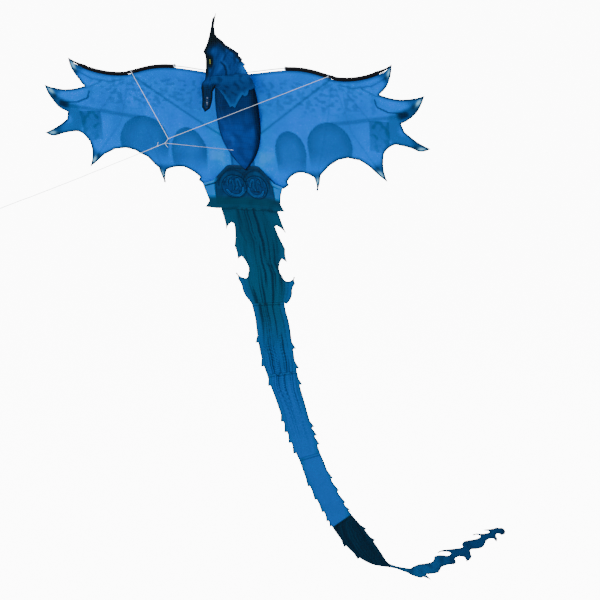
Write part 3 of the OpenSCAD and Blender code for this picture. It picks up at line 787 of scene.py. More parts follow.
@dataclass
class ClothCut:
    """One flat cut of cloth, its fine net, and where each point of it lies in the kite frame."""

    outline: np.ndarray
    step: float
    lies: Callable[[np.ndarray], np.ndarray]
    thickness: float = 0.0006
    hem_width: float = 0.0045

    def __post_init__(self) -> None:
        """Fill the outline."""
        self.outline = anticlockwise(self.outline)
        self.ring = evenly(self.outline, self.step)
        self.flat, self.faces = net(self.outline, self.step)
        self.edge_gap = gap_to(self.flat, self.outline, True)

    def piece(self, name: str, paint: Paint, finish: Finish) -> Piece:
        """Closed thin piece of painted cloth.

        Args:
            name: piece name.
            paint: colour of each point.
            finish: cloth material.

        Returns:
            The object.
        """
        points = self.lies(self.flat) + KITE_ZERO
        piece = new_piece(name, points, self.faces, finish)
        dye_and_cut(piece, paint.colour, self.flat)
        return thicken(piece, self.thickness)

    def hem(self, name: str, tint: Sequence[int], finish: Finish,
            skip: Optional[Callable] = None, proud: float = 0.0005) -> Piece:
        """Folded tape round the cut's free edge.

        Args:
            name: piece name.
            tint: screen colour of the tape.
            finish: tape material.
            skip: says for flat points which have no tape.
            proud: how far the tape stands off each face of the cloth.

        Returns:
            The object.
        """
        ring = self.ring
        inward = self.inward(ring)
        rows = [ring, ring + inward * self.hem_width * 0.5, ring + inward * self.hem_width]
        layers, half = [], self.thickness / 2 + proud
        for row, away in ((0, 1), (1, 1), (2, 1), (2, -1), (1, -1), (0, -1)):
            lift = half if row else half * 0.7
            layers.append(self.lies(rows[row]) + np.array([0, -away * lift, 0]) + KITE_ZERO)
        points = np.vstack(layers)
        n, k = len(ring), len(layers)
        wanted = np.ones(n, bool) if skip is None else ~skip(ring)
        faces = [
            (j * n + i, (j + 1) % k * n + i, (j + 1) % k * n + (i + 1) % n, j * n + (i + 1) % n)
            for i in range(n) if wanted[i] and wanted[(i + 1) % n]
            for j in range(k)
        ]
        piece = new_piece(name, points, faces, finish)
        flat = np.vstack([rows[row] for row in (0, 1, 2, 2, 1, 0)])
        paler = [min(255, c + 26) for c in tint]
        shade = Paint(len(flat), tuple(tint)).wash(paler, 0.5 + 0.5 * mottle(flat, 0.02, 3))
        dye_and_cut(piece, shade.colour, flat)
        return piece

    def inward(self, ring: np.ndarray) -> np.ndarray:
        """Direction into the cloth at each point of an anticlockwise ring."""
        ahead = np.roll(ring, -1, axis=0) - np.roll(ring, 1, axis=0)
        ahead = ahead / np.maximum(np.linalg.norm(ahead, axis=1), 1e-9)[:, None]
        return np.stack([-ahead[:, 1], ahead[:, 0]], axis=1)

    def stitches(self, name: str, inset: float, finish: Finish, skip: Optional[Callable] = None,
                 pitch: float = 0.004, wide: float = 0.0011) -> Piece:
        """Zigzag seam along the edge, on the front of the cloth.

        Args:
            name: piece name.
            inset: distance of the seam from the edge.
            finish: thread material.
            skip: says for flat points where there is no seam.
            pitch: length of one stitch.
            wide: half width of the zigzag.

        Returns:
            The object.
        """
        ring = along_line(np.vstack([self.ring, self.ring[:1]]), pitch)[:-1]
        inward = self.inward(ring)
        swing = np.where(np.arange(len(ring)) % 2, 1, -1)[:, None] * wide
        flat = ring + inward * (inset + swing)
        lift = np.array([0, -self.thickness / 2 - 0.0007, 0])
        line = self.lies(flat) + lift + KITE_ZERO
        wanted = np.ones(len(ring), bool) if skip is None else ~skip(ring)
        points, faces = tube(line, 0.00028, 4, closed=True)
        faces = [f for f in faces if len(f) == 4 and all(wanted[i // 4] for i in f)]
        return new_piece(name, points, faces, finish)


def dye_and_cut(piece: Piece, colour: np.ndarray, flat: np.ndarray) -> None:
    """Store the paint and the flat cut's coordinates on a mesh.

    Args:
        piece: the mesh object.
        colour: linear colour of each point.
        flat: flat coordinates of each point.
    """
    mesh = piece.data
    layer = mesh.color_attributes.new("paint", "FLOAT_COLOR", "POINT")
    opaque = np.hstack([colour, np.ones((len(colour), 1))])
    layer.data.foreach_set("color", opaque.astype(np.float32).ravel())
    corners = np.zeros(len(mesh.loops), np.int32)
    mesh.loops.foreach_get("vertex_index", corners)
    chart = mesh.uv_layers.new(name="cut")
    chart.data.foreach_set("uv", flat[corners].astype(np.float32).ravel())


def thicken(piece: Piece, thickness: float) -> Piece:
    """Give a single layer of cloth its thickness, half to each side.

    Args:
        piece: the mesh object.
        thickness: the cloth's thickness.

    Returns:
        The same object.
    """
    shell = piece.modifiers.new("thickness", "SOLIDIFY")
    shell.thickness = thickness
    shell.offset = 0
    graph = bpy.context.evaluated_depsgraph_get()
    done = bpy.data.meshes.new_from_object(piece.evaluated_get(graph))
    piece.modifiers.clear()
    old, piece.data = piece.data, done
    bpy.data.meshes.remove(old)
    done.name = piece.name
    return piece


def flat_size(outline: np.ndarray) -> tuple[tuple[float, float], float]:
    """Width, length and area of a flat cut.

    Args:
        outline: its corners.

    Returns:
        The width and length, and the area.
    """
    after = np.roll(outline, -1, axis=0)
    area = abs((outline[:, 0] * after[:, 1] - after[:, 0] * outline[:, 1]).sum()) / 2
    _, _, axes = np.linalg.svd(outline - outline.mean(0), full_matrices=False)
    turned = np.ptp(outline @ axes.T, axis=0)
    square = np.ptp(outline, axis=0)
    best = turned if turned.prod() < square.prod() else square
    return (float(best[0]), float(best[1])), float(area)


def body_y(z: np.ndarray) -> np.ndarray:
    """Y of the body line at a height, in the kite frame."""
    return BODY_BACK - BODY_SLOPE * z


def cloth_y(x: np.ndarray, z: np.ndarray) -> np.ndarray:
    """Y of the flat cloth between the body and the wrists, in the kite frame."""
    return body_y(z) * (1 - np.clip((np.abs(x) - ROOT) / (WRIST - ROOT), 0, 1))


# ---------- the wings ----------


@dataclass
class Wing:
    """One wing: sail, hem, membranes, sleeves, batten pocket and claws."""

    side: Side
    clothes: Wardrobe
    turn: float = math.atan(0.040 / 0.333)
    step: float = 0.0042
    puff: float = 0.012
    sleeve_low: float = -0.015
    sleeve_end: float = 0.57

    @property
    def tip_body(self) -> str:
        """Body of the outer wing."""
        return f"{self.side.word}_wing_tip"

    def set_back(self, x: np.ndarray, z: np.ndarray) -> np.ndarray:
        """Y of the flat sail in the kite frame.

        Args:
            x: distance from the middle.
            z: height.

        Returns:
            Y at each point.
        """
        return cloth_y(x, z) - np.maximum(x - WRIST, 0) * math.tan(self.turn)

    def lies(self, flat: np.ndarray) -> np.ndarray:
        """Place flat points on the blown sail.

        Args:
            flat: rows of X and Z.

        Returns:
            Points in the kite frame.
        """
        x, z = np.abs(flat[:, 0]), flat[:, 1]
        spot = np.stack([x, z], axis=1)
        held = [
            [(ROOT, 0.0), (0.12, 0.012), (0.22, 0.018), (WRIST, 0.0), (0.47, -0.006),
             (0.58, 0.045)],
            [(0.359, -0.006), (0.0, -0.249)],
            [(0.383, -0.012), (0.598, -0.097)],
            [(ROOT, 0.0), (ROOT, -0.33)],
        ]
        gap = np.min([gap_to(spot, np.array(line)) for line in held], axis=0)
        blown = self.puff * (1 - np.exp(-((gap / 0.05) ** 2)))
        ripple = 0.0016 * np.sin(x * 95 + z * 40) * smooth(0.01, 0.06, gap)
        ripple += 0.0022 * mottle(spot, 0.05, 7.0 + self.side.value) * smooth(0.008, 0.04, gap)
        return np.stack([flat[:, 0], self.set_back(x, z) + blown + ripple, z], axis=1)

    def make(self) -> list[Piece]:
        """Build the whole wing."""
        return self.sail() + self.sleeves() + self.pocket()

    def unhemmed(self, flat: np.ndarray) -> np.ndarray:
        """Which flat points lie under the sleeve or by the body, where there is no hem."""
        across = np.abs(flat[:, 0])
        under_sleeve = (flat[:, 1] > self.sleeve_low) & (across < self.sleeve_end)
        return under_sleeve | (across < ROOT + 0.001)

    def sail(self) -> list[Piece]:
        """Sail with its print, hem and seam.

        Returns:
            The pieces.
        """
        word = self.side.word
        nodes = [f"{word}_inner_sail", f"{word}_outer_sail"]
        edge = face_outline(nodes, (0, -1, 0), cut=WRIST)[:, [0, 2]]
        self.cut = ClothCut(edge, self.step, self.lies)
        sail = self.cut.piece(f"{word}_wing_sail", self.printed(), self.clothes.wing)
        fit(sail, stands_for=[*nodes])
        hem = self.cut.hem(f"{word}_wing_hem", (6, 34, 72), self.clothes.hem, self.unhemmed)
        seam = self.cut.stitches(f"{word}_wing_hem_stitches", 0.0032, self.clothes.thread, self.unhemmed)
        for piece in (sail, hem, seam):
            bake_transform(piece)
        size, area = flat_size(self.cut.outline)
        return [sail, hem, seam]

    def fold(self) -> tuple[tuple, tuple]:
        """Where the cloth starts and ends its turn at the wrist."""
        s, y, z = self.side.value, KITE_ZERO[1], KITE_ZERO[2]
        return (s * (WRIST - 0.02), y, z), (s * (WRIST + 0.02), y, z)

    def printed(self) -> Paint:
        """Dye and print of the sail, with painted highlights and the painted shadows of the strut and batten
        behind it.

        Returns:
            The paint for the sail's net.
        """
        flat = self.cut.flat
        x, z = np.abs(flat[:, 0]), flat[:, 1]
        spot = np.stack([x, z], axis=1)
        paint = Paint(len(flat), (2, 140, 224))
        near_body = smooth(0.16, 0.07, x) * smooth(-0.02, -0.08, z)
        paint.wash((20, 160, 232), near_body * 0.6)
        glare = smooth(0.1, 0.5, mottle(spot, 0.05, 2.0)) * smooth(-0.12, -0.2, z)
        paint.wash((40, 178, 246), 0.6 * near_body * glare)
        sleeve_foot = [(WRIST, -0.002), (0.44, -0.012), (0.50, -0.004), (0.575, 0.036), (0.612, 0.07)]
        top = gap_to(spot, np.array(sleeve_foot))
        paint.wash((2, 92, 160), 0.7 * smooth(0.0035, 0.001, np.abs(top - 0.017)) * smooth(0.37, 0.4, x))
        paint.wash((0, 120, 196), 0.5 * smooth(-0.2, 0.6, mottle(spot, 0.16, 5.0)))
        speckle = mottle(spot * np.array([0.75, 1.2]), 0.0125, 1.0) + 0.4 * mottle(spot, 0.05, 4.0)
        band = smooth(0.05, 0.12, x) * smooth(0.56, 0.46, x)
        band = band * smooth(-0.145, -0.09, z) * smooth(-0.004, -0.03, z)
        paint.wash((0, 104, 172), smooth(0.0, 0.3, speckle) * band * 0.5)
        for centre, half, tall in (((0.338, -0.228), 0.084, 0.083), ((0.186, -0.262), 0.060, 0.080)):
            self.membrane(paint, spot, centre, half, tall)
        block = [(0.486, -0.131), (0.56, -0.128), (0.556, -0.200), (0.524, -0.228), (0.486, -0.224)]
        panel = inside(spot, np.array(block)) * smooth(-0.29, -0.15, z)
        paint.wash((4, 86, 140), 0.55 * panel)
        paint.wash((20, 84, 112), 0.5 * panel * smooth(0.0, 0.3, mottle(spot, 0.02, 8.0)))
        for line, width, tint, cover in (
            # painted shadow of the batten behind the translucent sail, running inwards from its pocket
            ([(0.606, -0.108), (0.402, -0.142), (0.35, -0.148)], 0.009, (2, 92, 152), 0.5),
            ([(0.652, -0.086), (0.632, -0.096), (0.602, -0.108)], 0.021, (6, 62, 104), 0.8),
            ([(0.62, -0.103), (0.604, -0.108)], 0.015, (12, 22, 62), 0.85),
            ([(0.58, -0.125), (0.566, -0.165), (0.59, -0.19), (0.66, -0.196)], 0.034, (2, 96, 146), 0.6),
            ([(0.622, -0.1), (0.56, -0.098), (0.522, -0.084), (0.515, -0.062)], 0.0035, (12, 40, 70), 0.8),
            # painted shadow of the strut behind the translucent sail, from the wrist to the foot of the
            # spine
            ([(0.359, -0.006), (0.19, -0.121), (0.0, -0.249)], 0.0050, (4, 84, 144), 0.5),
            ([(0.47, -0.03), (0.52, -0.05), (0.56, -0.052)], 0.003, (4, 76, 130), 0.5),
            ([(0.40, -0.03), (0.48, -0.12), (0.545, -0.2)], 0.0034, (2, 100, 166), 0.3),
            ([(0.375, -0.03), (0.42, -0.17), (0.52, -0.29)], 0.0034, (2, 100, 166), 0.26),
            ([(0.36, -0.03), (0.33, -0.16), (0.285, -0.32)], 0.0034, (2, 100, 166), 0.24),
        ):
            away = gap_to(spot, np.array(line))
            paint.wash(tint, cover * smooth(width, width * 0.35, away))
        paint.wash((10, 70, 126), 0.6 * smooth(0.011, 0.004, self.cut.edge_gap) * smooth(0.05, 0.07, x))
        self.claws(paint, flat)
        return paint

    def membrane(self, paint: Paint, spot: np.ndarray, centre: tuple, half: float, tall: float) -> None:
        """Doubled cloth under an arch: darkest along the arch, fading down to the edge.

        Args:
            paint: the sail's paint.
            spot: points with X as distance from the middle.
            centre: middle of the arch's foot.
            half: half width.
            tall: height.
        """
        dx, dz = (spot[:, 0] - centre[0]) / half, (spot[:, 1] - centre[1]) / tall
        reach = np.where(dz > 0, np.hypot(dx, dz), np.abs(dx) + 0.12 * -dz)
        within = smooth(1.02, 0.985, reach)
        fade = 0.55 + 0.45 * smooth(0.4, 1.0, reach)
        paint.wash((3, 106, 172), within * fade * smooth(-0.95, -0.1, dz))
        rim = smooth(0.03, 0.0, np.abs(reach - 0.995)) * (dz > 0)
        paint.wash((4, 88, 146), rim * 0.7)

    def claws(self, paint: Paint, flat: np.ndarray) -> None:
        """Black points with a painted glassy highlight at the end of each finger.

        Args:
            paint: the sail's paint.
            flat: the net's flat points.
        """
        for tip, into in sharp_tips(self.cut.ring, 0.016, 62):
            if abs(tip[0]) < 0.17:
                continue
            off = flat - tip
            along = off @ into
            across = off @ np.array([-into[1], into[0]])
            near = smooth(0.075, 0.05, np.hypot(along, across))
            paint.wash((8, 52, 96), near * smooth(0.03, 0.012, self.cut.edge_gap) * 0.55)
            paint.wash((6, 22, 44), smooth(0.016, 0.009, np.hypot(along, across)))
            # painted highlight: a pale glassy glint a little in from each claw tip
            painted_glint = np.exp(-(((along - 0.030) / 0.013) ** 2) - ((across - 0.002) / 0.0052) ** 2)
            paint.wash((150, 220, 250), painted_glint * 1.35)
            dark = np.exp(-(((along - 0.05) / 0.011) ** 2) - ((across + 0.002) / 0.007) ** 2)
            paint.wash((8, 34, 66), dark * (0.75 if abs(tip[0]) > 0.52 else 0.25))

    def sleeves(self) -> list[Piece]:
        """Black rod sleeves with their lips, end hems and bar tacks.

        Returns:
            The pieces.
        """
        made = []
        for part, body in (("inner", "kite"), ("outer", self.tip_body)):
            node = f"{self.side.word}_{part}_sleeve"
            path = along_line(sleeve_path(node), 0.004) + KITE_ZERO
            piece = new_piece(f"{node}_cloth", *sleeve_shape(path, 0.005, (0, 0, -1)), self.clothes.black)
            fit(piece, body, [node])
            made.append(piece)
        made += [self.tip_sleeve(), self.wrist_wrap()]
        path = sleeve_path(f"{self.side.word}_inner_sleeve")
        end = path[np.argmin(np.abs(path[:, 0]))]
        ahead = path[1] - path[0]
        turns = [0.0, 0.0012, 0.0024]
        loops = [tube(coil(end + KITE_ZERO, ahead, 0.0056, t), 0.0006, 6, closed=True) for t in turns]
        tack = new_piece(f"{self.side.word}_sleeve_bar_tack", *joined(loops), self.clothes.cord)
        fit(tack, "kite")
        return made + [tack]

    def wrist_wrap(self) -> Piece:
        """Short black wrap over the wrist.

        Returns:
            The wrap.
        """
        ends = []
        for part in ("inner", "outer"):
            path = sleeve_path(f"{self.side.word}_{part}_sleeve")
            near = path[np.argmin(np.abs(np.abs(path[:, 0]) - WRIST))]
            far = path[np.argsort(np.abs(np.abs(path[:, 0]) - WRIST))[2]]
            ends.append(near + (far - near) / np.linalg.norm(far - near) * 0.006)
        middle = np.array([self.side.value * WRIST, 0.0, (ends[0][2] + ends[1][2]) / 2 - 0.0008])
        path = along_line([ends[0], middle, ends[1]], 0.003) + KITE_ZERO
        shape = sleeve_shape(path, 0.0043, (0, 0, -1))
        wrap = new_piece(f"{self.side.word}_wrist_wrap", *shape, self.clothes.black)
        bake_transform(wrap)
        return wrap

    def tip_sleeve(self) -> Piece:
        """Folded black cloth from the sleeve's end over the rod cap to the first claw's tip.

        Returns:
            The cloth.
        """
        s = self.side.value
        path = sleeve_path(f"{self.side.word}_outer_sleeve")
        end = path[np.argmax(np.abs(path[:, 0]))]
        ring = self.cut.ring
        upper = ring[(np.abs(ring[:, 0]) > abs(end[0])) & (ring[:, 1] > 0.02)]
        tip = upper[np.argmax(upper[:, 1])]
        edge = self.lies(np.array([tip]))[0]
        before = path[np.argsort(np.abs(path[:, 0]))[-4]]
        heading = (end - before) / np.linalg.norm(end - before)
        bow = end + heading * 0.55 * np.linalg.norm(edge - end)
        t = np.linspace(0, 1, 26)[:, None]
        start, finish = end - heading * 0.012, edge - [0.002 * s, 0, 0.002]
        line = (1 - t) ** 2 * start + 2 * t * (1 - t) * bow + t**2 * finish
        long = np.linalg.norm(np.diff(line, axis=0), axis=1).sum()

        def swell(far: float, angle: float) -> float:
            """Radius factor: lightly folded and tapered to the claw."""
            return (1 - 0.82 * (far / long) ** 1.4) * (1 + 0.05 * wrinkle(far, angle))

        shape = tube(line + KITE_ZERO, 0.0058, 12, swell=swell)
        tubing = new_piece(f"{self.side.word}_sleeve_end_cloth", *shape, self.clothes.black)
        fit(tubing, self.tip_body)
        return tubing

    def pocket(self) -> list[Piece]:
        """Dark red pocket that holds the batten's outer end.

        Returns:
            The pieces.
        """
        node = f"{self.side.word}_batten_pocket"
        low, high = (np.array(p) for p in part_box(node))
        centre, size = (low + high) / 2, high - low
        points, faces = pillow(size * np.array([1.04, 0.8, 1.04]), 22, 12)
        behind = np.array([0, 0.1 * size[1], 0])
        pocket = new_piece(f"{node}_cloth", points + centre + behind, faces, self.clothes.red)
        fit(pocket, self.tip_body, [node])
        return [pocket]


def coil(centre: np.ndarray, ahead: np.ndarray, radius: float, shift: float) -> np.ndarray:
    """Ring of points square to a direction.

    Args:
        centre: its middle.
        ahead: direction it is square to.
        radius: its radius.
        shift: distance from the middle along the direction.

    Returns:
        The points.
    """
    ahead = ahead / np.linalg.norm(ahead)
    side = np.cross(ahead, [0, 1, 0])
    side = side / np.linalg.norm(side)
    up = np.cross(ahead, side)
    turn = np.linspace(0, 2 * math.pi, 20, endpoint=False)[:, None]
    return centre + ahead * shift + radius * (np.cos(turn) * side + np.sin(turn) * up)


def sleeve_path(node: str) -> np.ndarray:
    """Middle line of a CAD sleeve, in the kite frame.

    Args:
        node: the sleeve's node name.

    Returns:
        Points along it, from low to high along its longest side.
    """
    points = corners_of(node) - KITE_ZERO
    longest = int(np.argmax(np.ptp(points, axis=0)))
    points = points[np.argsort(points[:, longest])]
    breaks = np.where(np.diff(points[:, longest]) > 0.006)[0] + 1
    rings = [np.unique(np.round(group, 6), axis=0) for group in np.split(points, breaks)]
    return np.array([(ring.max(0) + ring.min(0)) / 2 for ring in rings])


def sleeve_shape(path: np.ndarray, radius: float, lip: Sequence[float]) -> Shape:
    """Wrinkled tube of cloth with turned ends and a flat sewn lip.

    Args:
        path: its middle line.
        radius: its radius.
        lip: direction of the lip.

    Returns:
        Points and faces.
    """
    long = np.linalg.norm(np.diff(path, axis=0), axis=1).sum()

    def swell(far: float, angle: float) -> float:
        """Radius factor: folds all along, thicker at the turned ends."""
        fold = 0.055 * noise.noise(Vector((far * 70, math.cos(angle) * 1.3, math.sin(angle) * 1.3)))
        turned = 0.06 if min(far, long - far) < 0.009 else 0.0
        return 0.97 + fold + turned

    shell = tube(path, radius, 14, swell=swell)
    lip = np.array(lip, float)
    inner, outer = radius * 0.8, radius + 0.0032
    section = ((inner, 0.0009), (outer, 0.0005), (outer, -0.0005), (inner, -0.0009))
    rows = [path + lip * down + np.array([0, back, 0]) for down, back in section]
    return joined([shell, (np.vstack(rows), box_round(len(path)))])


def pillow(size: np.ndarray, across: int, down: int) -> Shape:
    """Rounded pouch about zero.

    Args:
        size: its three sizes.
        across: points round it.
        down: rings.

    Returns:
        Points and faces.
    """
    points = []
    for i in range(down + 1):
        tall = math.pi * (i / down - 0.5)
        for k in range(across):
            turn = 2 * math.pi * k / across
            raw = (math.cos(tall) * math.cos(turn), math.cos(tall) * math.sin(turn), math.sin(tall))
            points.append([math.copysign(abs(c) ** 0.6, c) * s / 2 for c, s in zip(raw, size)])
    faces = [(i * across + k, i * across + (k + 1) % across,
              (i + 1) * across + (k + 1) % across, (i + 1) * across + k)
             for i in range(down) for k in range(across)]
    return np.array(points), faces


# ---------- the body ----------


@dataclass
class Body:
    """Middle of the kite: back panel, puffed belly, chest fringe, hips and haunches."""

    clothes: Wardrobe
    belly_top: float = -0.020
    belly_long: float = 0.298
    belly_half: float = 0.077
    belly_puff: float = 0.030
    shift: float = 0.008
    hip_top: float = -0.3155

    def back_lies(self, flat: np.ndarray) -> np.ndarray:
        """Place the back panel's flat points on the body line."""
        return np.stack([flat[:, 0], body_y(flat[:, 1]), flat[:, 1]], axis=1)

    def hips_lie(self, flat: np.ndarray) -> np.ndarray:
        """Place the haunch panel's flat points, with a light ripple at its sides.

        Args:
            flat: rows of X and Z.

        Returns:
            Points in the kite frame.
        """
        x, z = flat[:, 0], flat[:, 1]
        ripple = 0.002 * mottle(flat, 0.05, 2.0) * smooth(0.05, 0.09, np.abs(x))
        return np.stack([x, cloth_y(x, z) + ripple, z], axis=1)

    def half_width(self, t: np.ndarray) -> np.ndarray:
        """Belly's half width at a share of its length from the top."""
        top = 1 - 0.16 * (np.maximum(0.34 - t, 0) / 0.34) ** 2
        foot = 1 - (np.maximum(t - 0.34, 0) / 0.66) ** 3
        return np.maximum(self.belly_half * np.minimum(top, foot), 0.003)

    def belly_y(self, x: np.ndarray, z: np.ndarray) -> np.ndarray:
        """Y of the belly's front in the kite frame.

        Args:
            x: across.
            z: height.

        Returns:
            Y at each point; beside the belly, the cloth's own.
        """
        t = np.clip((self.belly_top - z) / self.belly_long, 0, 1)
        half = self.half_width(t)
        c = np.clip((self.shift - x) / half, -1, 1)
        depth = 0.002 + self.belly_puff * np.sin(np.pi * (0.06 + 0.9 * t) ** 0.8)
        left, right = cloth_y(self.shift - half, z), cloth_y(self.shift + half, z)
        base = left + (right - left) * (1 - c) / 2 - 0.0009
        return base - 0.001 - depth * np.sqrt(np.maximum(1 - c * c, 0))

    def make(self) -> list[Piece]:
        """Build the whole body."""
        return self.back_panel() + self.belly() + self.fringe() + self.hips() + self.haunches()

    def back_panel(self) -> list[Piece]:
        """Cloth strip between the two wings, behind the belly.

        Returns:
            The pieces.
        """
        edge = face_outline(["body_panel"], (0, -1, 0))[:, [0, 2]]
        cut = ClothCut(edge, 0.007, self.back_lies)
        spot = cut.flat
        paint = Paint(len(spot), (8, 128, 200)).wash((2, 96, 166), 0.5 + 0.5 * mottle(spot, 0.04, 3.0))
        panel = cut.piece("back_panel_cloth", paint, self.clothes.wing)
        fit(panel, "kite", ["body_panel"])
        size, area = flat_size(cut.outline)
        seams = []
        for side in (-1, 1):
            rows = np.linspace(cut.flat[:, 1].max() - 0.002, cut.flat[:, 1].min() + 0.002, 60)
            path = np.stack([np.full(60, side * ROOT), body_y(rows) - 0.0002, rows], axis=1)
            level, ahead = np.array([1.0, 0, 0]), np.array([0, -1.0, 0])
            seams.append(tape(path + KITE_ZERO, level, ahead, 0.007, 0.0016))
        points, faces = joined(seams)
        tape_piece = new_piece("body_seam_tapes", points, faces, self.clothes.wing)
        dye_and_cut(tape_piece, Paint(len(points), (4, 112, 184)).colour, points[:, [0, 2]])
        fit(tape_piece, "kite")
        return [panel, tape_piece]

    def belly(self) -> list[Piece]:
        """Puffed leaf-shaped belly with its seam edge.

        Returns:
            The pieces.
        """
        rings, arc = 90, 48
        grid = []
        for i in range(rings + 1):
            t = i / rings
            z = self.belly_top - self.belly_long * t
            half = float(self.half_width(np.array(t)))
            for k in range(arc + 1):
                x = self.shift - half * math.cos(math.pi * k / arc)
                grid.append((x, z))
        flat = np.array(grid)
        y = self.belly_y(flat[:, 0], flat[:, 1])
        t = (self.belly_top - flat[:, 1]) / self.belly_long
        c = (self.shift - flat[:, 0]) / self.half_width(t)
        crown = np.sqrt(np.maximum(1 - c * c, 0))
        pucker = 0.0018 * np.sin(flat[:, 1] * 330 + 3 * mottle(flat, 0.03, 1.0))
        pucker = pucker * np.exp(-((1 - np.abs(c)) / 0.12) ** 2)
        folds = 0.0028 * mottle(flat * np.array([1.8, 0.7]), 0.035, 6.0)
        y = y + (pucker + folds) * smooth(0.0, 0.35, crown)
        row = arc + 1
        faces = [(i * row + k, i * row + k + 1, (i + 1) * row + k + 1, (i + 1) * row + k)
                 for i in range(rings) for k in range(arc)]
        front = np.stack([flat[:, 0], y, flat[:, 1]], axis=1)
        back = front.copy()
        left = cloth_y(self.shift - self.half_width(t), flat[:, 1])
        right = cloth_y(self.shift + self.half_width(t), flat[:, 1])
        back[:, 1] = left + (right - left) * (1 - c) / 2 - 0.0008
        rim = [i * row for i in range(rings + 1)] + [rings * row + k for k in range(1, row)]
        rim += [i * row + arc for i in range(rings - 1, -1, -1)] + [k for k in range(arc - 1, 0, -1)]
        count = len(front)
        sides = [(a, b, b + count, a + count) for a, b in zip(rim, rim[1:] + rim[:1])]
        points = np.vstack([front, back]) + KITE_ZERO
        faces = [f[::-1] for f in faces] + [tuple(i + count for i in f) for f in faces] + sides
        paint = self.belly_print(flat, c)
        belly = new_piece("belly_cloth", points, faces, self.clothes.belly)
        dye_and_cut(belly, np.vstack([paint.colour, paint.colour]), np.vstack([flat, flat]))
        fit(belly, "kite", ["belly_pouch"])
        edge = np.array([front[i] + KITE_ZERO + np.array([0, -0.0003, 0]) for i in rim])
        piping = new_piece("belly_edge_piping", *tube(edge, 0.0019, 8, closed=True), self.clothes.black)
        fit(piping, "kite")
        return [belly, piping]

    def belly_print(self, flat: np.ndarray, c: np.ndarray) -> Paint:
        """Dye and print of the belly.

        Args:
            flat: its flat points.
            c: place across, -1 to 1 from its right edge to its left.

        Returns:
            The paint.
        """
        paint = Paint(len(flat), (4, 70, 158))
        z = flat[:, 1]
        paint.wash((2, 52, 128), 0.75 * smooth(-0.1, 0.45, mottle(flat, 0.03, 2.0)))
        paint.wash((10, 92, 186), 0.45 * smooth(0.15, 0.6, mottle(flat * np.array([2.0, 0.8]), 0.03, 5.0)))
        paint.wash((4, 34, 78), smooth(-0.19, -0.10, z) * 0.8)
        rim = smooth(0.72, 0.98, np.abs(c))
        paint.wash((4, 18, 46), rim * 0.9)
        ribs = np.sin(flat[:, 0] * 620 + 5 * mottle(flat, 0.03, 9.0))
        upper_left = smooth(0.35, 0.7, c) * smooth(-0.2, -0.1, z)
        paint.wash((6, 22, 56), smooth(0.3, 0.95, ribs) * upper_left * 0.8)
        scale = np.abs(np.sin(z * 150 + 2.2 * c * c)) ** 14
        paint.wash((3, 50, 120), scale * 0.35 * smooth(0.9, 0.5, np.abs(c)))
        return paint

    def fringe(self) -> list[Piece]:
        """Pointed bib where the neck cloth laps over the belly; its top follows the head.

        Returns:
            The pieces.
        """
        corners = np.array([
            (-0.030, 0.004), (-0.026, -0.035), (-0.025, -0.060), (-0.016, -0.076), (-0.006, -0.090),
            (0.001, -0.103), (0.010, -0.099), (0.019, -0.105), (0.028, -0.09), (0.036, -0.077),
            (0.047, -0.062), (0.054, -0.068), (0.062, -0.064), (0.067, -0.054), (0.071, -0.046),
            (0.079, -0.045), (0.095, -0.037), (0.093, -0.014), (0.081, 0.008)])
        slant = math.tan(math.radians(28))

        def lies(flat: np.ndarray) -> np.ndarray:
            """Lower part on the belly, upper part on the head's base."""
            x, z = flat[:, 0], flat[:, 1]
            head = -0.014 + np.minimum(x - 0.04, 0.0) * slant + np.maximum(x - 0.04, 0) * 0.25
            low = self.belly_y(x, np.minimum(z, -0.026)) - 0.0022
            share = smooth(-0.07, -0.012, z)
            head = head - 0.0075
            y = low * (1 - share) + np.minimum(head, low) * share
            return np.stack([x, y + 0.0012 * mottle(flat, 0.02, 4.0), z], axis=1)

        cut = ClothCut(corners, 0.004, lies, 0.0008, 0.003)
        spot = cut.flat
        paint = Paint(len(spot), (6, 72, 140))
        paint.wash((3, 42, 98), 0.8 * smooth(-0.05, 0.4, mottle(spot, 0.016, 2.0)))
        low_edge = smooth(0.013, 0.003, cut.edge_gap) * smooth(-0.03, -0.06, spot[:, 1])
        paint.wash((22, 112, 186), 0.7 * low_edge)
        bib = cut.piece("chest_fringe", paint, self.clothes.head)
        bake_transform(bib)
        size, area = flat_size(cut.outline)
        return [bib]

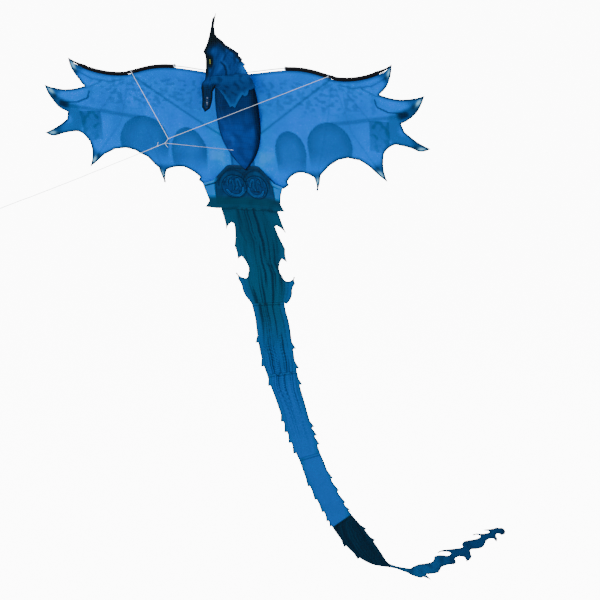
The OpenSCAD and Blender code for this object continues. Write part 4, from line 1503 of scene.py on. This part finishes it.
    def hips(self) -> list[Piece]:
        """Haunch panel with thorns, hem and seam.

        Returns:
            The pieces.
        """
        edge = face_outline(["hips_panel"], (0, -1, 0))[:, [0, 2]]
        self.hip_cut = ClothCut(edge, 0.0045, self.hips_lie, hem_width=0.003)
        spot = self.hip_cut.flat
        x, z = spot[:, 0], spot[:, 1]
        hood = np.array([
            (-0.108, -0.44), (-0.105, -0.37), (-0.088, -0.332), (-0.045, -0.311), (0.0, -0.319),
            (0.05, -0.309), (0.09, -0.33), (0.106, -0.365), (0.112, -0.44)])
        paint = Paint(len(spot), (8, 138, 208))
        paint.wash((30, 170, 235), 0.5 * smooth(0.0, 0.5, mottle(spot, 0.04, 1.0)))
        within = inside(spot, hood) * 1.0
        paint.wash((5, 44, 88), 0.92 * within)
        paint.wash((4, 84, 140), 0.55 * within * smooth(-0.05, 0.4, mottle(spot, 0.03, 6.0)))
        for side in (-1, 1):
            arch = np.hypot(x - side * 0.042, z + 0.374)
            paint.wash((3, 26, 54), 0.8 * smooth(0.004, 0.001, np.abs(arch - 0.052)) * (z > -0.38))
            outer = smooth(0.003, 0.001, np.abs(arch - 0.061)) * (z > -0.375) * within
            paint.wash((3, 26, 54), 0.6 * outer)
        paint.wash((3, 30, 58), 0.9 * smooth(0.0035, 0.0012, gap_to(spot, hood)) * (z > -0.43))
        low = smooth(-0.405, -0.422, z)
        paint.wash((4, 72, 100), 0.95 * low)
        paint.wash((3, 46, 76), 0.7 * low * smooth(-0.1, 0.4, mottle(spot, 0.04, 3.0)))
        hips = self.hip_cut.piece("hips_cloth", paint, self.clothes.hips)
        fit(hips, stands_for=["hips_panel"])
        foot = z.min()

        def sewn(flat: np.ndarray) -> np.ndarray:
            """Points on the seams with the tail and the wings, where there is no hem."""
            return (flat[:, 1] < foot + 0.002) | (flat[:, 1] > self.hip_top)

        hem = self.hip_cut.hem("hips_hem", (4, 34, 58), self.clothes.hem, sewn)
        seam = self.hip_cut.stitches("hips_stitches", 0.0026, self.clothes.thread, sewn)
        for piece in (hips, hem, seam, self.hip_seam()):
            fit(piece, "kite")
        size, area = flat_size(self.hip_cut.outline)
        return [hips, hem, seam]

    def hip_seam(self) -> Piece:
        """Folded tape that joins the haunch panel to the wings and the back panel.

        Returns:
            The tape.
        """
        ring = self.hip_cut.ring
        inward = self.hip_cut.inward(ring)
        upper = [i for i, (_, z) in enumerate(ring)
                 if z > self.hip_top or (inward[i, 1] < -0.35 and z > -0.40)]
        upper.sort(key=lambda i: ring[i, 0])
        edge = along_line(ring[upper], 0.005)
        slope = np.gradient(edge, axis=0)
        out = np.stack([-slope[:, 1], slope[:, 0]], axis=1)
        out = out / np.linalg.norm(out, axis=1)[:, None]
        rows = []
        for reach, lift in ((0.0085, 0.0014), (-0.003, 0.0014), (-0.003, -0.0005), (0.0085, -0.0005)):
            flat = edge + out * reach
            level = cloth_y(flat[:, 0], flat[:, 1]) - lift
            rows.append(np.stack([flat[:, 0], level, flat[:, 1]], axis=1))
        points = np.vstack(rows) + KITE_ZERO
        piece = new_piece("hips_seam_tape", points, box_round(len(edge)), self.clothes.hem)
        patches = 0.5 + 0.5 * mottle(points[:, [0, 2]], 0.01, 2.0)
        shade = Paint(len(points), (4, 34, 66)).wash((8, 60, 104), patches)
        shade.wash((6, 128, 200), smooth(0.098, 0.108, np.abs(points[:, 0])))
        dye_and_cut(piece, shade.colour, points[:, [0, 2]])
        return piece

    def haunches(self) -> list[Piece]:
        """Two round medallions with curled claws worked on them.

        Returns:
            The pieces.
        """
        made = []
        for side in Side:
            s, radius = side.value, 0.039
            centre = np.array([s * 0.0405, -0.378])
            turn = np.linspace(0, 2 * math.pi, 72, endpoint=False)
            ring = centre + radius * np.stack([1.09 * np.cos(turn), np.sin(turn)], axis=1)

            def lies(flat: np.ndarray) -> np.ndarray:
                """On the hips panel, slightly crowned."""
                away = np.linalg.norm(flat - centre, axis=1) / radius
                y = cloth_y(flat[:, 0], flat[:, 1]) - 0.0016
                y = y - 0.0022 * smooth(1.0, 0.4, away) + 0.0004 * s
                return np.stack([flat[:, 0], y, flat[:, 1]], axis=1)

            cut = ClothCut(ring, 0.0024, lies, 0.0008, 0.0025)
            local = (cut.flat - centre) * np.array([s, 1])
            paint = Paint(len(local), (6, 64, 124))
            paint.wash((3, 32, 72), 0.8 * smooth(0.0, 0.4, mottle(local, 0.01, 2.0 + s)))
            for line, width in CLAW_CURLS:
                away = gap_to(local, np.array(line) * CURL_SIZE)
                paint.wash((3, 20, 48), smooth(width + 0.0028, width + 0.001, away) * 0.9)
                paint.wash((10, 104, 176), smooth(width, width - 0.0015, away))
                paint.wash((40, 130, 196), 0.5 * smooth(0.0012, 0.0004, away))
            paint.wash((26, 104, 160), 0.6 * smooth(0.0012, 0.0004, np.abs(cut.edge_gap - 0.0022)))
            disc = cut.piece(f"{side.word}_haunch_medallion", paint, self.clothes.hips)
            fit(disc, "kite", [f"{side.word}_haunch_patch"])
            size, area = flat_size(cut.outline)
            rim = lies(ring) + KITE_ZERO - np.array([0, 0.0004, 0])
            shape = tube(rim, 0.0009, 6, closed=True)
            cord = new_piece(f"{side.word}_haunch_cord", *shape, self.clothes.thread)
            ahead = KITE_ZERO - np.array([0, 0.0006, 0])
            worked = []
            for line, _ in CLAW_CURLS:
                curl = along_line(np.array(line) * CURL_SIZE * np.array([s, 1]) + centre, 0.002)
                worked.append(tube(lies(curl) + ahead, 0.0007, 5))
            stitch = new_piece(f"{side.word}_haunch_embroidery", *joined(worked), self.clothes.thread)
            for piece in (cord, stitch):
                fit(piece, "kite")
            made += [disc, cord, stitch]
        return made


# The haunch's worked curls, each with its half width in metres, and the metres in one of their units
CURL_SIZE = 0.00118
CLAW_CURLS = (
    ([(-26, -4), (-24, -16), (-13, -25), (2, -26), (15, -21), (22, -10)], 0.0042),
    ([(-20, 2), (-17, 14), (-12, 22), (-7, 20), (-8, 10), (-10, 0), (-4, -8)], 0.0032),
    ([(4, -8), (2, 4), (4, 16), (9, 20), (12, 12)], 0.0028),
    ([(20, 4), (20, 16), (14, 26), (2, 31), (-12, 30)], 0.0026),
    ([(-31, 6), (-30, 18), (-22, 28)], 0.0018),
)


def tape(path: np.ndarray, across: np.ndarray, up: np.ndarray, width: float, thick: float) -> Shape:
    """Flat closed strip along a path.

    Args:
        path: its middle line.
        across: its width's direction.
        up: its thickness's direction.
        width: its width.
        thick: its thickness.

    Returns:
        Points and faces.
    """
    corners = [(-1, -1), (1, -1), (1, 1), (-1, 1)]
    rows = [path + across * a * width / 2 + up * b * thick / 2 for a, b in corners]
    n = len(path)
    ends = [(0, n, 2 * n, 3 * n), (n - 1, 4 * n - 1, 3 * n - 1, 2 * n - 1)]
    return np.vstack(rows), box_round(n) + ends


# ---------- the head ----------


@dataclass
class Head:
    """Flat profile head of two layers, turned from the wing's plane, with crest, horn and eye."""

    clothes: Wardrobe
    neck: tuple[float, float, float] = (0.040, -0.014, 0.0)
    turn: float = math.radians(28)
    step: float = 0.0036
    eye: tuple[float, float] = (-0.0805, 0.051)

    @property
    def ahead(self) -> np.ndarray:
        """Direction in the head's plane from the snout to the nape."""
        return np.array([math.cos(self.turn), math.sin(self.turn), 0.0])

    @property
    def front(self) -> np.ndarray:
        """Direction that the head's shown face looks in."""
        return np.array([math.sin(self.turn), -math.cos(self.turn), 0.0])

    def place(self, flat: np.ndarray, lift: float = 0.0, puff: Optional[np.ndarray] = None) -> np.ndarray:
        """Head-plane points in the kite frame.

        Args:
            flat: rows of distance from the neck and height.
            lift: distance in front of the plane.
            puff: more of it, for each point.

        Returns:
            The points.
        """
        out = lift + (0 if puff is None else puff)
        out = np.broadcast_to(out, (len(flat),))
        return (np.array(self.neck) + flat[:, :1] * self.ahead + np.array([0, 0, 1.0]) * flat[:, 1:]
                + out[:, None] * self.front)

    def outline(self, node: str) -> np.ndarray:
        """Outline of a CAD node's shown face in the head's plane."""
        edge = face_outline([node], self.front) - np.array(self.neck)
        return np.stack([edge @ self.ahead, edge[:, 2]], axis=1)

    def make(self) -> list[Piece]:
        """Build the head.

        Returns:
            Its pieces.
        """
        made = self.face() + self.crest() + self.eyes() + self.horn()
        for piece in made:
            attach(piece, "head")
        return made

    def face(self) -> list[Piece]:
        """Two quilted layers with the printed face.

        Returns:
            The pieces.
        """
        edge = self.outline("head_panel")
        flat, faces = net(anticlockwise(edge), self.step)
        gap = gap_to(flat, edge, True)
        puff = 0.0055 * (1 - np.exp(-((gap / 0.016) ** 2))) + 0.0007
        puff = puff + 0.0009 * mottle(flat, 0.02, 3.0) * smooth(0.003, 0.012, gap)
        near = self.place(flat, 0.0, puff) + KITE_ZERO
        far = self.place(flat, 0.0, -puff) + KITE_ZERO
        piece = new_piece("head_cloth", *two_layers(near, far, faces), self.clothes.head)
        paint = self.printed(flat, gap)
        dye_and_cut(piece, np.vstack([paint.colour, paint.colour]), np.vstack([flat, flat]))
        fit(piece, stands_for=["head_panel"])
        ring = evenly(anticlockwise(edge), 0.003)
        neck = (ring[:, 1] < 0.006) & (ring[:, 0] > -0.062)
        last = int(np.flatnonzero(neck & ~np.roll(neck, -1))[0])
        ring = np.roll(ring, -last - 1, axis=0)[: len(ring) - int(neck.sum())]
        shape = tube(self.place(ring) + KITE_ZERO, 0.0013, 6)
        piping = new_piece("head_edge_binding", *shape, self.clothes.black)
        return [piece, piping]

    def printed(self, flat: np.ndarray, gap: np.ndarray) -> Paint:
        """Dye and print of the head.

        Args:
            flat: its flat points.
            gap: their distance from the edge.

        Returns:
            The paint.
        """
        s, z = flat[:, 0], flat[:, 1]
        paint = Paint(len(flat), (6, 66, 138))
        streak = flat @ np.array([[1.0, 0.35], [-0.35, 1.0]])
        dark = mottle(streak * np.array([2.2, 0.7]), 0.024, 5.0)
        light = mottle(streak * np.array([2.0, 0.7]), 0.028, 2.0)
        paint.wash((3, 38, 92), 0.85 * smooth(-0.05, 0.4, dark))
        paint.wash((10, 96, 182), 0.55 * smooth(0.1, 0.55, light))
        shoulder = np.exp(-(((s - 0.026) / 0.014) ** 2) - ((z - 0.024) / 0.022) ** 2)
        paint.wash((10, 126, 208), shoulder)
        paint.wash((3, 28, 62), 0.8 * smooth(0.035, 0.012, gap) * smooth(0.04, 0.075, z) * (s < -0.03))
        off = (flat - np.array([self.eye])) / np.array([0.012, 0.024])
        paint.wash((5, 12, 26), smooth(1.3, 0.6, np.hypot(off[:, 0], off[:, 1])))
        brow = smooth(-0.075, -0.085, s) * smooth(-0.02, 0.02, z)
        paint.wash((6, 10, 20), smooth(0.012, 0.005, gap) * brow)
        paint.wash((7, 8, 13), smooth(0.086, 0.124, z + 0.4 * np.minimum(-0.06 - s, 0.03)))
        nape = smooth(-0.062, -0.052, s) * smooth(0.038, 0.046, z)
        paint.wash((5, 8, 17), 0.95 * smooth(0.0105, 0.0065, gap) * nape)
        jaw = np.array([
            (-0.046, 0.047), (-0.036, 0.034), (-0.032, 0.018), (-0.034, 0.002), (-0.046, -0.008),
            (-0.062, -0.009)])
        paint.wash((4, 18, 52), 0.9 * smooth(0.0042, 0.0015, gap_to(flat, jaw)))
        cheek = gap_to(flat, jaw + np.array([0.0085, 0.001]))
        paint.wash((16, 92, 168), 0.6 * smooth(0.0045, 0.001, cheek))
        snout = smooth(-0.012, -0.03, z)
        paint.wash((6, 22, 62), 0.75 * snout)
        paint.wash((4, 12, 30), 0.8 * snout * smooth(0.0, 0.35, np.sin(s * 1300 + z * 60)))
        paint.wash((20, 70, 130), 0.5 * snout * smooth(0.5, 0.9, np.sin(s * 900 + z * 60 + 2)))
        paint.wash((5, 9, 20), 0.9 * smooth(0.007, 0.003, gap) * snout)
        gum = np.abs(s + 0.0985 - 0.12 * (z + 0.08))
        teeth = np.abs(np.sin((z + 0.06) * 420)) ** 10 * smooth(0.0022, 0.0008, gum)
        paint.wash((200, 216, 232), teeth * smooth(-0.058, -0.064, z) * smooth(-0.096, -0.09, z))
        scales = np.abs(np.sin(s * 260 + 1.5 * np.sin(z * 210)))
        scales = scales * np.abs(np.sin(z * 210 + 1.2 * np.sin(s * 260)))
        paint.wash((5, 46, 100), 0.35 * smooth(0.2, 0.05, scales) * smooth(-0.05, -0.02, s))
        return paint

    def crest(self) -> list[Piece]:
        """Black crest and horn cloth on both faces.

        Returns:
            The pieces.
        """
        edge = anticlockwise(self.outline("head_crest"))
        face_edge = self.outline("head_panel")
        cuts, dyes = [], []
        flat, faces = net(edge, self.step)
        gap = gap_to(flat, edge, True)
        inner_gap = gap_to(flat, face_edge, True)
        colour = self.printed(flat, inner_gap).colour
        lift = 0.0016 + 0.0055 * (1 - np.exp(-((inner_gap / 0.016) ** 2)))
        crown = 0.0008 * smooth(0.0, 0.004, gap) + 0.0005 * mottle(flat, 0.012, 8.0)
        for way in (1, -1):
            outer = self.place(flat, 0.0, way * (lift + crown))
            under = self.place(flat, 0.0, way * (lift - 0.0006))
            turned = faces if way > 0 else [f[::-1] for f in faces]
            cuts.append(two_layers(outer + KITE_ZERO, under + KITE_ZERO, turned))
            dyes += [colour, colour]
        piece = new_piece("head_crest_cloth", *joined(cuts), self.clothes.head)
        dye_and_cut(piece, np.vstack(dyes), np.vstack([flat] * 4))
        fit(piece, stands_for=["head_crest"])
        return [piece]

    def eyes(self) -> list[Piece]:
        """Yellow-green domed eye with a slit pupil on each face.

        Returns:
            The pieces.
        """
        balls, slits = [], []
        for way in (1, -1):
            for size, into in (((0.004, 0.0156, 0.004), balls), ((0.0012, 0.0112, 0.005), slits)):
                points, faces = pillow(np.array(size), 20, 10)
                local = points[:, [0, 1]] + np.array(self.eye)
                spot = self.place(local, 0.0, way * (0.0052 + points[:, 2]))
                into.append((spot + KITE_ZERO, faces))
        eye = new_piece("head_eyes", *joined(balls), self.clothes.eye)
        pupil = new_piece("head_pupils", *joined(slits), self.clothes.moulded)
        fit(eye, stands_for=["head_eye"])
        return [eye, pupil]

    def horn(self) -> list[Piece]:
        """Black sleeve round the horn's rod.

        Returns:
            The pieces.
        """
        low, high = (np.array(p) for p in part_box("horn_rod_sleeve"))
        path = along_line(sleeve_path("horn_rod_sleeve"), 0.003) + KITE_ZERO
        radius = min(high[1] - low[1], 0.006) / 2

        def swell(far: float, angle: float) -> float:
            """Radius factor: lightly folded."""
            return 1 + 0.06 * wrinkle(far, angle)

        sleeve = new_piece("horn_sleeve_cloth", *tube(path, radius, 12, swell=swell), self.clothes.black)
        fit(sleeve, stands_for=["horn_rod_sleeve"])
        return [sleeve]


# ---------- the tail ----------


class Dye(Enum):
    """How a length of the tail is dyed."""

    TEAL = "teal"
    BLUE = "blue"
    DARK = "dark"
    STEEL = "steel"


def tail_seams() -> list[tuple[np.ndarray, np.ndarray]]:
    """Flat point on each of the tail's bends, and the flat direction along the ribbon there."""
    seams = []
    for name, joint in HINGES.items():
        if name.startswith("tail"):
            spot, axis = np.array(joint["pos_m"]) - KITE_ZERO, joint["axis"]
            seams.append((spot[[0, 2]], np.array([axis[2], -axis[0]])))
    return seams


@dataclass
class TailLength:
    """One length of the ribbon tail between two bends."""

    clothes: Wardrobe
    node: str
    body: str
    parent: str
    hinge: str
    slot: str
    dye: Dye
    sideways: bool = False
    step: float = 0.0038
    plane: float = 0.08415

    def make(self) -> list[Piece]:
        """Build the cloth, its hem and the seam tape at its hinge.

        Returns:
            The pieces.
        """
        edge = face_outline([self.node], (0, -1, 0))[:, [0, 2]]
        self.cut = ClothCut(edge, self.step, self.lies, hem_width=0.0028)
        finish = self.clothes.tail_end if self.dye in (Dye.STEEL, Dye.DARK) else self.clothes.tail
        paint = self.dyed(self.cut.flat, self.cut.edge_gap)
        cloth = self.cut.piece(f"{self.node}_cloth", paint, finish)
        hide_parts(self.node)
        ends = self.end_lines()

        def sewn(flat: np.ndarray) -> np.ndarray:
            """Points on a seam with the next length, where there is no hem."""
            return np.any([np.abs((flat - spot) @ way) < 0.0016 for spot, way in ends], axis=0)

        hem = self.cut.hem(f"{self.node}_hem", (4, 30, 56), self.clothes.hem, sewn, 0.0004)
        seam = self.cut.stitches(f"{self.node}_stitches", 0.0024, self.clothes.thread, sewn)
        pivot = np.array(HINGES[self.hinge]["pos_m"])
        for piece in (cloth, hem, seam):
            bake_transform(piece)
        size, area = flat_size(self.cut.outline)
        tape_piece = self.seam_tape(pivot)
        return [cloth, hem, seam, tape_piece]

    def across(self) -> np.ndarray:
        """Direction of the hinge line."""
        return np.array(HINGES[self.hinge]["axis"], float)

    def down(self) -> np.ndarray:
        """Direction along the ribbon, away from the kite, at its hinge."""
        a = self.across()
        return np.array([a[2], 0, -a[0]])

    def end_lines(self) -> list[tuple[np.ndarray, np.ndarray]]:
        """Seams at this length's ends, where there is no hem."""
        outline = self.cut.outline
        return [(spot, way) for spot, way in tail_seams()
                if np.min(np.linalg.norm(outline - spot, axis=1)) < 0.12]

    def lies(self, flat: np.ndarray) -> np.ndarray:
        """Place flat points on the waving ribbon.

        Args:
            flat: rows of X and Z.

        Returns:
            Points in the kite frame.
        """
        x, z = flat[:, 0], flat[:, 1]
        still = 1.0
        for spot, way in tail_seams():
            away = np.abs((flat - spot) @ way)
            near = np.linalg.norm(flat - spot, axis=1)
            still = still * np.maximum(smooth(0.0, 0.06, away), smooth(0.12, 0.2, near))
        wave = 0.004 * np.sin(z * 21 + x * 9) + 0.0022 * mottle(flat, 0.07, 3.0)
        return np.stack([x, np.full(len(flat), self.plane) + wave * still, z], axis=1)

    def ribbon(self, flat: np.ndarray) -> tuple[np.ndarray, np.ndarray]:
        """Ribbon coordinates of flat points.

        Args:
            flat: rows of X and Z.

        Returns:
            Place along in metres, and across from -1 to 1.
        """
        loop = self.cut.ring
        along, over = (0, 1) if self.sideways else (1, 0)
        stations = np.linspace(loop[:, along].min(), loop[:, along].max(), 60)
        middle, half = [], []
        for s in stations:
            near = loop[np.abs(loop[:, along] - s) < 0.03][:, over]
            low, high = np.percentile(near, 12), np.percentile(near, 88)
            middle.append((low + high) / 2)
            half.append(max((high - low) / 2, 0.008))
        kernel = np.ones(7) / 7
        middle = np.convolve(np.pad(middle, 3, "edge"), kernel, "valid")
        half = np.convolve(np.pad(half, 3, "edge"), kernel, "valid")
        place = flat[:, along]
        side = (flat[:, over] - np.interp(place, stations, middle)) / np.interp(place, stations, half)
        return place, side

    def dyed(self, flat: np.ndarray, edge_gap: np.ndarray) -> Paint:
        """Dye at flat points; the upper lengths share one run of colour.

        Args:
            flat: rows of X and Z.
            edge_gap: distance of each from the edge.

        Returns:
            The paint.
        """
        along, side = self.ribbon(flat)
        streak_at = np.stack([side * 2.1, along * 1.1], axis=1)
        fine = mottle(streak_at, 0.2, 2.0) + 0.6 * mottle(streak_at * np.array([2.1, 0.8]), 0.2, 9.0)
        deep = smooth(1.0, 0.45, np.abs(side))
        z = flat[:, 1]
        if self.dye is Dye.DARK:
            paint = Paint(len(flat), (14, 34, 54))
            paint.wash((26, 56, 80), 0.6 * smooth(0.0, 0.5, fine))
            paint.wash((4, 14, 26), 0.6 * smooth(0.0, -0.5, fine))
        elif self.dye is Dye.STEEL:
            x = flat[:, 0]
            paint = Paint(len(flat), (40, 98, 150))
            paint.wash((8, 64, 116), 0.9 * smooth(0.56, 0.72, x))
            paint.wash((6, 44, 86), 0.6 * smooth(0.0, 0.45, mottle(flat, 0.03, 4.0)))
            paint.wash((6, 30, 62), 0.7 * smooth(0.84, 0.86, x))
        else:
            paint = Paint(len(flat), (34, 92, 124))
            paint.wash((3, 110, 184), smooth(-0.76, -1.08, z))
            paint.wash((8, 112, 188), 0.7 * smooth(-1.1, -1.4, z))
            paint.wash((26, 66, 96), 0.65 * deep * smooth(-0.72, -0.5, z))
            paint.wash((8, 108, 166), 0.85 * smooth(0.55, 0.9, np.abs(side)) * smooth(-0.57, -0.66, z))
            fade = smooth(-1.32, -0.98, z)
            paint.wash((6, 34, 62), 0.85 * deep * fade * smooth(-0.02, -0.32, fine))
            paint.wash((6, 92, 132), 0.4 * deep * fade * smooth(0.15, 0.5, fine))
        paint.wash((4, 36, 70), 0.5 * smooth(0.006, 0.002, edge_gap))
        return paint

    def seam_tape(self, pivot: np.ndarray) -> Piece:
        """Tape over the sewn joint at the top of this length.

        Args:
            pivot: point on the hinge.

        Returns:
            The tape.
        """
        across, down = self.across(), self.down()
        flat = self.cut.ring
        spot = (pivot - KITE_ZERO)[[0, 2]]
        way = np.array([across[0], across[2]])
        near = flat[np.abs((flat - spot) @ np.array([down[0], down[2]])) < 0.004]
        near = near[np.linalg.norm(near - spot, axis=1) < 0.15]
        reach = (near - spot) @ way
        ends = [pivot + across * (reach.min() + 0.001), pivot + across * (reach.max() - 0.001)]
        points, faces = tape(along_line(ends, 0.006), down, np.array([0, -1.0, 0]), 0.007, 0.0018)
        finish = self.clothes.hips if self.parent == "kite" else self.clothes.tail
        piece = new_piece(f"{self.node}_seam_tape", points, faces, finish)
        flat = (points - KITE_ZERO)[:, [0, 2]]
        dye_and_cut(piece, self.dyed(flat, np.full(len(flat), 1.0)).colour, flat)
        fit(piece, self.parent)
        return piece


# ---------- cords ----------


@dataclass
class Lines:
    """White bridle and flying line."""

    clothes: Wardrobe
    bridle: float = 0.0014
    line: float = 0.0016
    lay: float = 0.0045
    knot_reach: float = 0.0052

    def strand(self, name: str, path: np.ndarray, diameter: float, closed: bool = False) -> Piece:
        """Laid cord of three strands.

        Args:
            name: piece name.
            path: its middle line in the row frame.
            diameter: its diameter.
            closed: whether it is a loop.

        Returns:
            The cord.
        """

        def swell(far: float, angle: float) -> float:
            """Radius factor: three strands, twisted."""
            return 0.93 + 0.13 * abs(math.cos(1.5 * angle + math.pi * far / self.lay))

        piece = new_piece(name, *tube(path, diameter / 2, 12, closed, swell), self.clothes.cord)
        return piece

    def make(self) -> list[Piece]:
        """Build the flying line and the bridle."""
        return self.flying_line() + self.bridle_legs() + self.knots()

    def flying_line(self) -> list[Piece]:
        """Flying line from the tow knot to its end loop.

        Returns:
            The pieces.
        """
        drops = [0, 1, 1, 2, 2, 3, 3, 4, 4, 4, 4, 4, 3, 3, 3]
        route = [(0.0, -0.003 if i == 0 else -0.06 * i, -0.001 * drop) for i, drop in enumerate(drops)]
        path = along_line(route, 0.0016)
        line = self.strand("flying_line_cord", path, self.line)
        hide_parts("flying_line")
        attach(line, "kite")
        return [line]

    def bridle_legs(self) -> list[Piece]:
        """Two wing legs, the pigtail between the knots and the lower leg.

        Returns:
            The pieces.
        """
        made = []
        for node in ("left_bridle_leg", "right_bridle_leg", "bridle_pigtail", "lower_bridle_leg"):
            points = corners_of(node)
            middle = points.mean(0)
            _, _, axes = np.linalg.svd(points - middle, full_matrices=False)
            run = (points - middle) @ axes[0]
            a, b = middle + axes[0] * run.min(), middle + axes[0] * run.max()
            if a[1] < b[1]:
                a, b = b, a
            piece = self.strand(f"{node}_cord", along_line([a, b], 0.0016), self.bridle)
            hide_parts(node)
            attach(piece, "kite")
            made.append(piece)
        return made

    def knots(self) -> list[Piece]:
        """Tied knots with loose tails."""
        nodes = ("bridle_top_knot", "bridle_tow_knot", "lower_bridle_knot", "line_knot")
        return [self.knot_at(node) for node in nodes]

    def knot_at(self, node: str) -> Piece:
        """One overhand knot, and the tail that its CAD node has.

        Args:
            node: CAD node.

        Returns:
            The knot.
        """
        points = corners_of(node)
        crowds = [points[np.linalg.norm(points - p, axis=1) < self.knot_reach] for p in points]
        crowd = max(crowds, key=len)
        ball = (crowd.max(0) + crowd.min(0)) / 2
        turn = np.linspace(0, 2 * math.pi, 90, endpoint=False)
        across, up = np.sin(turn) + 2 * np.sin(2 * turn), np.cos(turn) - 2 * np.cos(2 * turn)
        wind = np.stack([across, up, -np.sin(3 * turn)], axis=1)
        parts = [tube(ball + wind * 0.00062, 0.00085, 8, closed=True)]
        far = points[np.argmax(np.linalg.norm(points - ball, axis=1))]
        if np.linalg.norm(far - ball) > 0.006:
            bend = np.cross(far - ball, [0, 0, 1.0])
            bend = bend / max(np.linalg.norm(bend), 1e-9) * 0.0015
            tail = [ball, ball * 0.5 + far * 0.5 + bend, far]
            parts.append(tube(along_line(tail, 0.0012), 0.0006, 8))
        piece = new_piece(f"{node}_cord", *joined(parts), self.clothes.cord)
        fit(piece, "kite", [node])
        return piece


# ---------- rods and mouldings that keep their CAD shape ----------


@dataclass
class Hardware:
    """Dresses the CAD rods, connectors, caps and rings."""

    clothes: Wardrobe

    FINISH = (
        ("dark_rod", ("spine_rod", "strut", "outer_spar", "tip_batten", "horn_rod")),
        ("pale_rod", ("inner_spar",)),
        ("moulded", ("cap", "connector", "joiner")),
        ("cord", ("bridle_ring", "tow_loop", "line_end_loop")),
    )

    def make(self) -> list[str]:
        """Dress every CAD node that still shows.

        Returns:
            Their names.
        """
        shown = []
        for name, node in frame["nodes"].items():
            if node.hide_render:
                continue
            for finish, words in self.FINISH:
                if any(name.endswith(word) for word in words):
                    node.data.materials.clear()
                    node.data.materials.append(getattr(self.clothes, finish))
                    shown.append(name)
                    break
            else:
                log.warning("%s has no finish", name)
        return shown


# ---------- the studio ----------


@dataclass
class Studio:
    """Camera, pale floor and soft light."""

    distance: float = 6.0
    azimuth: float = 27.3
    elevation: float = 15.9
    roll: float = -3.2
    target: tuple[float, float, float] = (0.2125, 0.456, -0.588)
    lens: float = 111.7
    floor: float = -2.1
    floor_half: float = 60.0
    floor_glow: float = 10.5
    daylight: float = 0.78
    aim: tuple[float, float, float] = (0.2, 0.45, -0.4)

    def camera(self) -> None:
        """Place the camera."""
        az, el, roll = (math.radians(a) for a in (self.azimuth, self.elevation, self.roll))
        out = Vector((math.sin(az) * math.cos(el), -math.cos(az) * math.cos(el), math.sin(el)))
        right = Vector((math.cos(az), math.sin(az), 0))
        up = right.cross(-out)
        turned = right * math.cos(roll) + up * math.sin(roll)
        top = up * math.cos(roll) - right * math.sin(roll)
        data = bpy.data.cameras.new("camera")
        data.lens = self.lens
        data.sensor_width = 36
        data.clip_end = 60
        view = bpy.data.objects.new("camera", data)
        place = Matrix((turned, top, out)).transposed().to_4x4()
        place.translation = Vector(self.target) + out * self.distance
        view.matrix_world = place
        bpy.context.scene.collection.objects.link(view)
        bpy.context.scene.camera = view

    def room(self) -> None:
        """Lay the floor and hang the lights."""
        n = Nodes("studio_floor")
        face = n.add("BsdfPrincipled")
        n.put(face, Base_Color=(0.96, 0.96, 0.96, 1), Roughness=0.9, Emission_Color=(1, 1, 1, 1),
              Emission_Strength=self.floor_glow)
        finish = n.close(face.outputs[0])
        wide = self.floor_half
        signs = ((-1, -1), (1, -1), (1, 1), (-1, 1))
        corners = np.array([(x * wide, y * wide, self.floor) for x, y in signs])
        floor = new_piece("studio_floor", corners, [(0, 1, 2, 3)], finish, soft_shade=False)
        floor.visible_diffuse = floor.visible_glossy = False
        floor.visible_transmission = floor.visible_shadow = False
        world = bpy.data.worlds.new("soft_room")
        world.use_nodes = True
        sky = world.node_tree.nodes["Background"]
        sky.inputs[0].default_value = (1, 1, 1, 1)
        sky.inputs[1].default_value = self.daylight
        bpy.context.scene.world = world
        for name, spot, size, power in (
            ("key", (-2.2, -3.2, 3.4), 2.6, 150),
            ("fill", (3.4, -2.6, 1.2), 3.0, 25),
            ("back", (0.6, 3.4, 1.6), 3.0, 90),
        ):
            data = bpy.data.lights.new(name, "AREA")
            data.size = size
            data.energy = power
            lamp = bpy.data.objects.new(name, data)
            lamp.location = spot
            way = Vector(self.aim) - Vector(spot)
            lamp.rotation_euler = way.to_track_quat("-Z", "Y").to_euler()
            bpy.context.scene.collection.objects.link(lamp)


def tail_lengths(clothes: Wardrobe) -> list[TailLength]:
    """Every length of the tail, from the hips out.

    Args:
        clothes: every finish.

    Returns:
        The lengths.
    """
    rows = (
        ("tail_barbed", "tail_top_body", "tail_root_bend", "tail_top_cloth", Dye.TEAL),
        ("tail_upper", "tail_upper_body", "tail_bend_below_barbs", "tail_top_cloth", Dye.TEAL),
        ("tail_middle", "tail_middle_body", "tail_bend_upper", "tail_blue_cloth", Dye.BLUE),
        ("tail_lower", "tail_lower_body", "tail_bend_middle", "tail_blue_cloth", Dye.BLUE),
        ("tail_dark", "tail_dark_body", "tail_bend_lower", "tail_dark_cloth", Dye.DARK),
        ("tail_flame", "tail_flame_body", "tail_twist_bend", "tail_end_cloth", Dye.STEEL),
    )
    lengths, parent = [], "kite"
    for node, body, hinge, slot, shade in rows:
        lengths.append(TailLength(clothes, node, body, parent, hinge, slot, shade, node == "tail_flame"))
        parent = body
    return lengths


def main() -> None:
    """Build the kite, piece by piece."""
    logging.basicConfig(level=logging.INFO, format="%(message)s")
    studio = Studio()
    studio.camera()
    clothes = Wardrobe()
    steps = [("lines", Lines(clothes).make), ("head", Head(clothes).make), ("body", Body(clothes).make)]
    steps += [(f"{side.word} wing", Wing(side, clothes).make) for side in Side]
    steps += [(length.node, length.make) for length in tail_lengths(clothes)]
    steps += [("hardware", Hardware(clothes).make)]
    for name, make in steps:
        pieces = make()
        log.info("%s: %d pieces", name, len(pieces))
    studio.room()


if __name__ == "__main__":
    main()
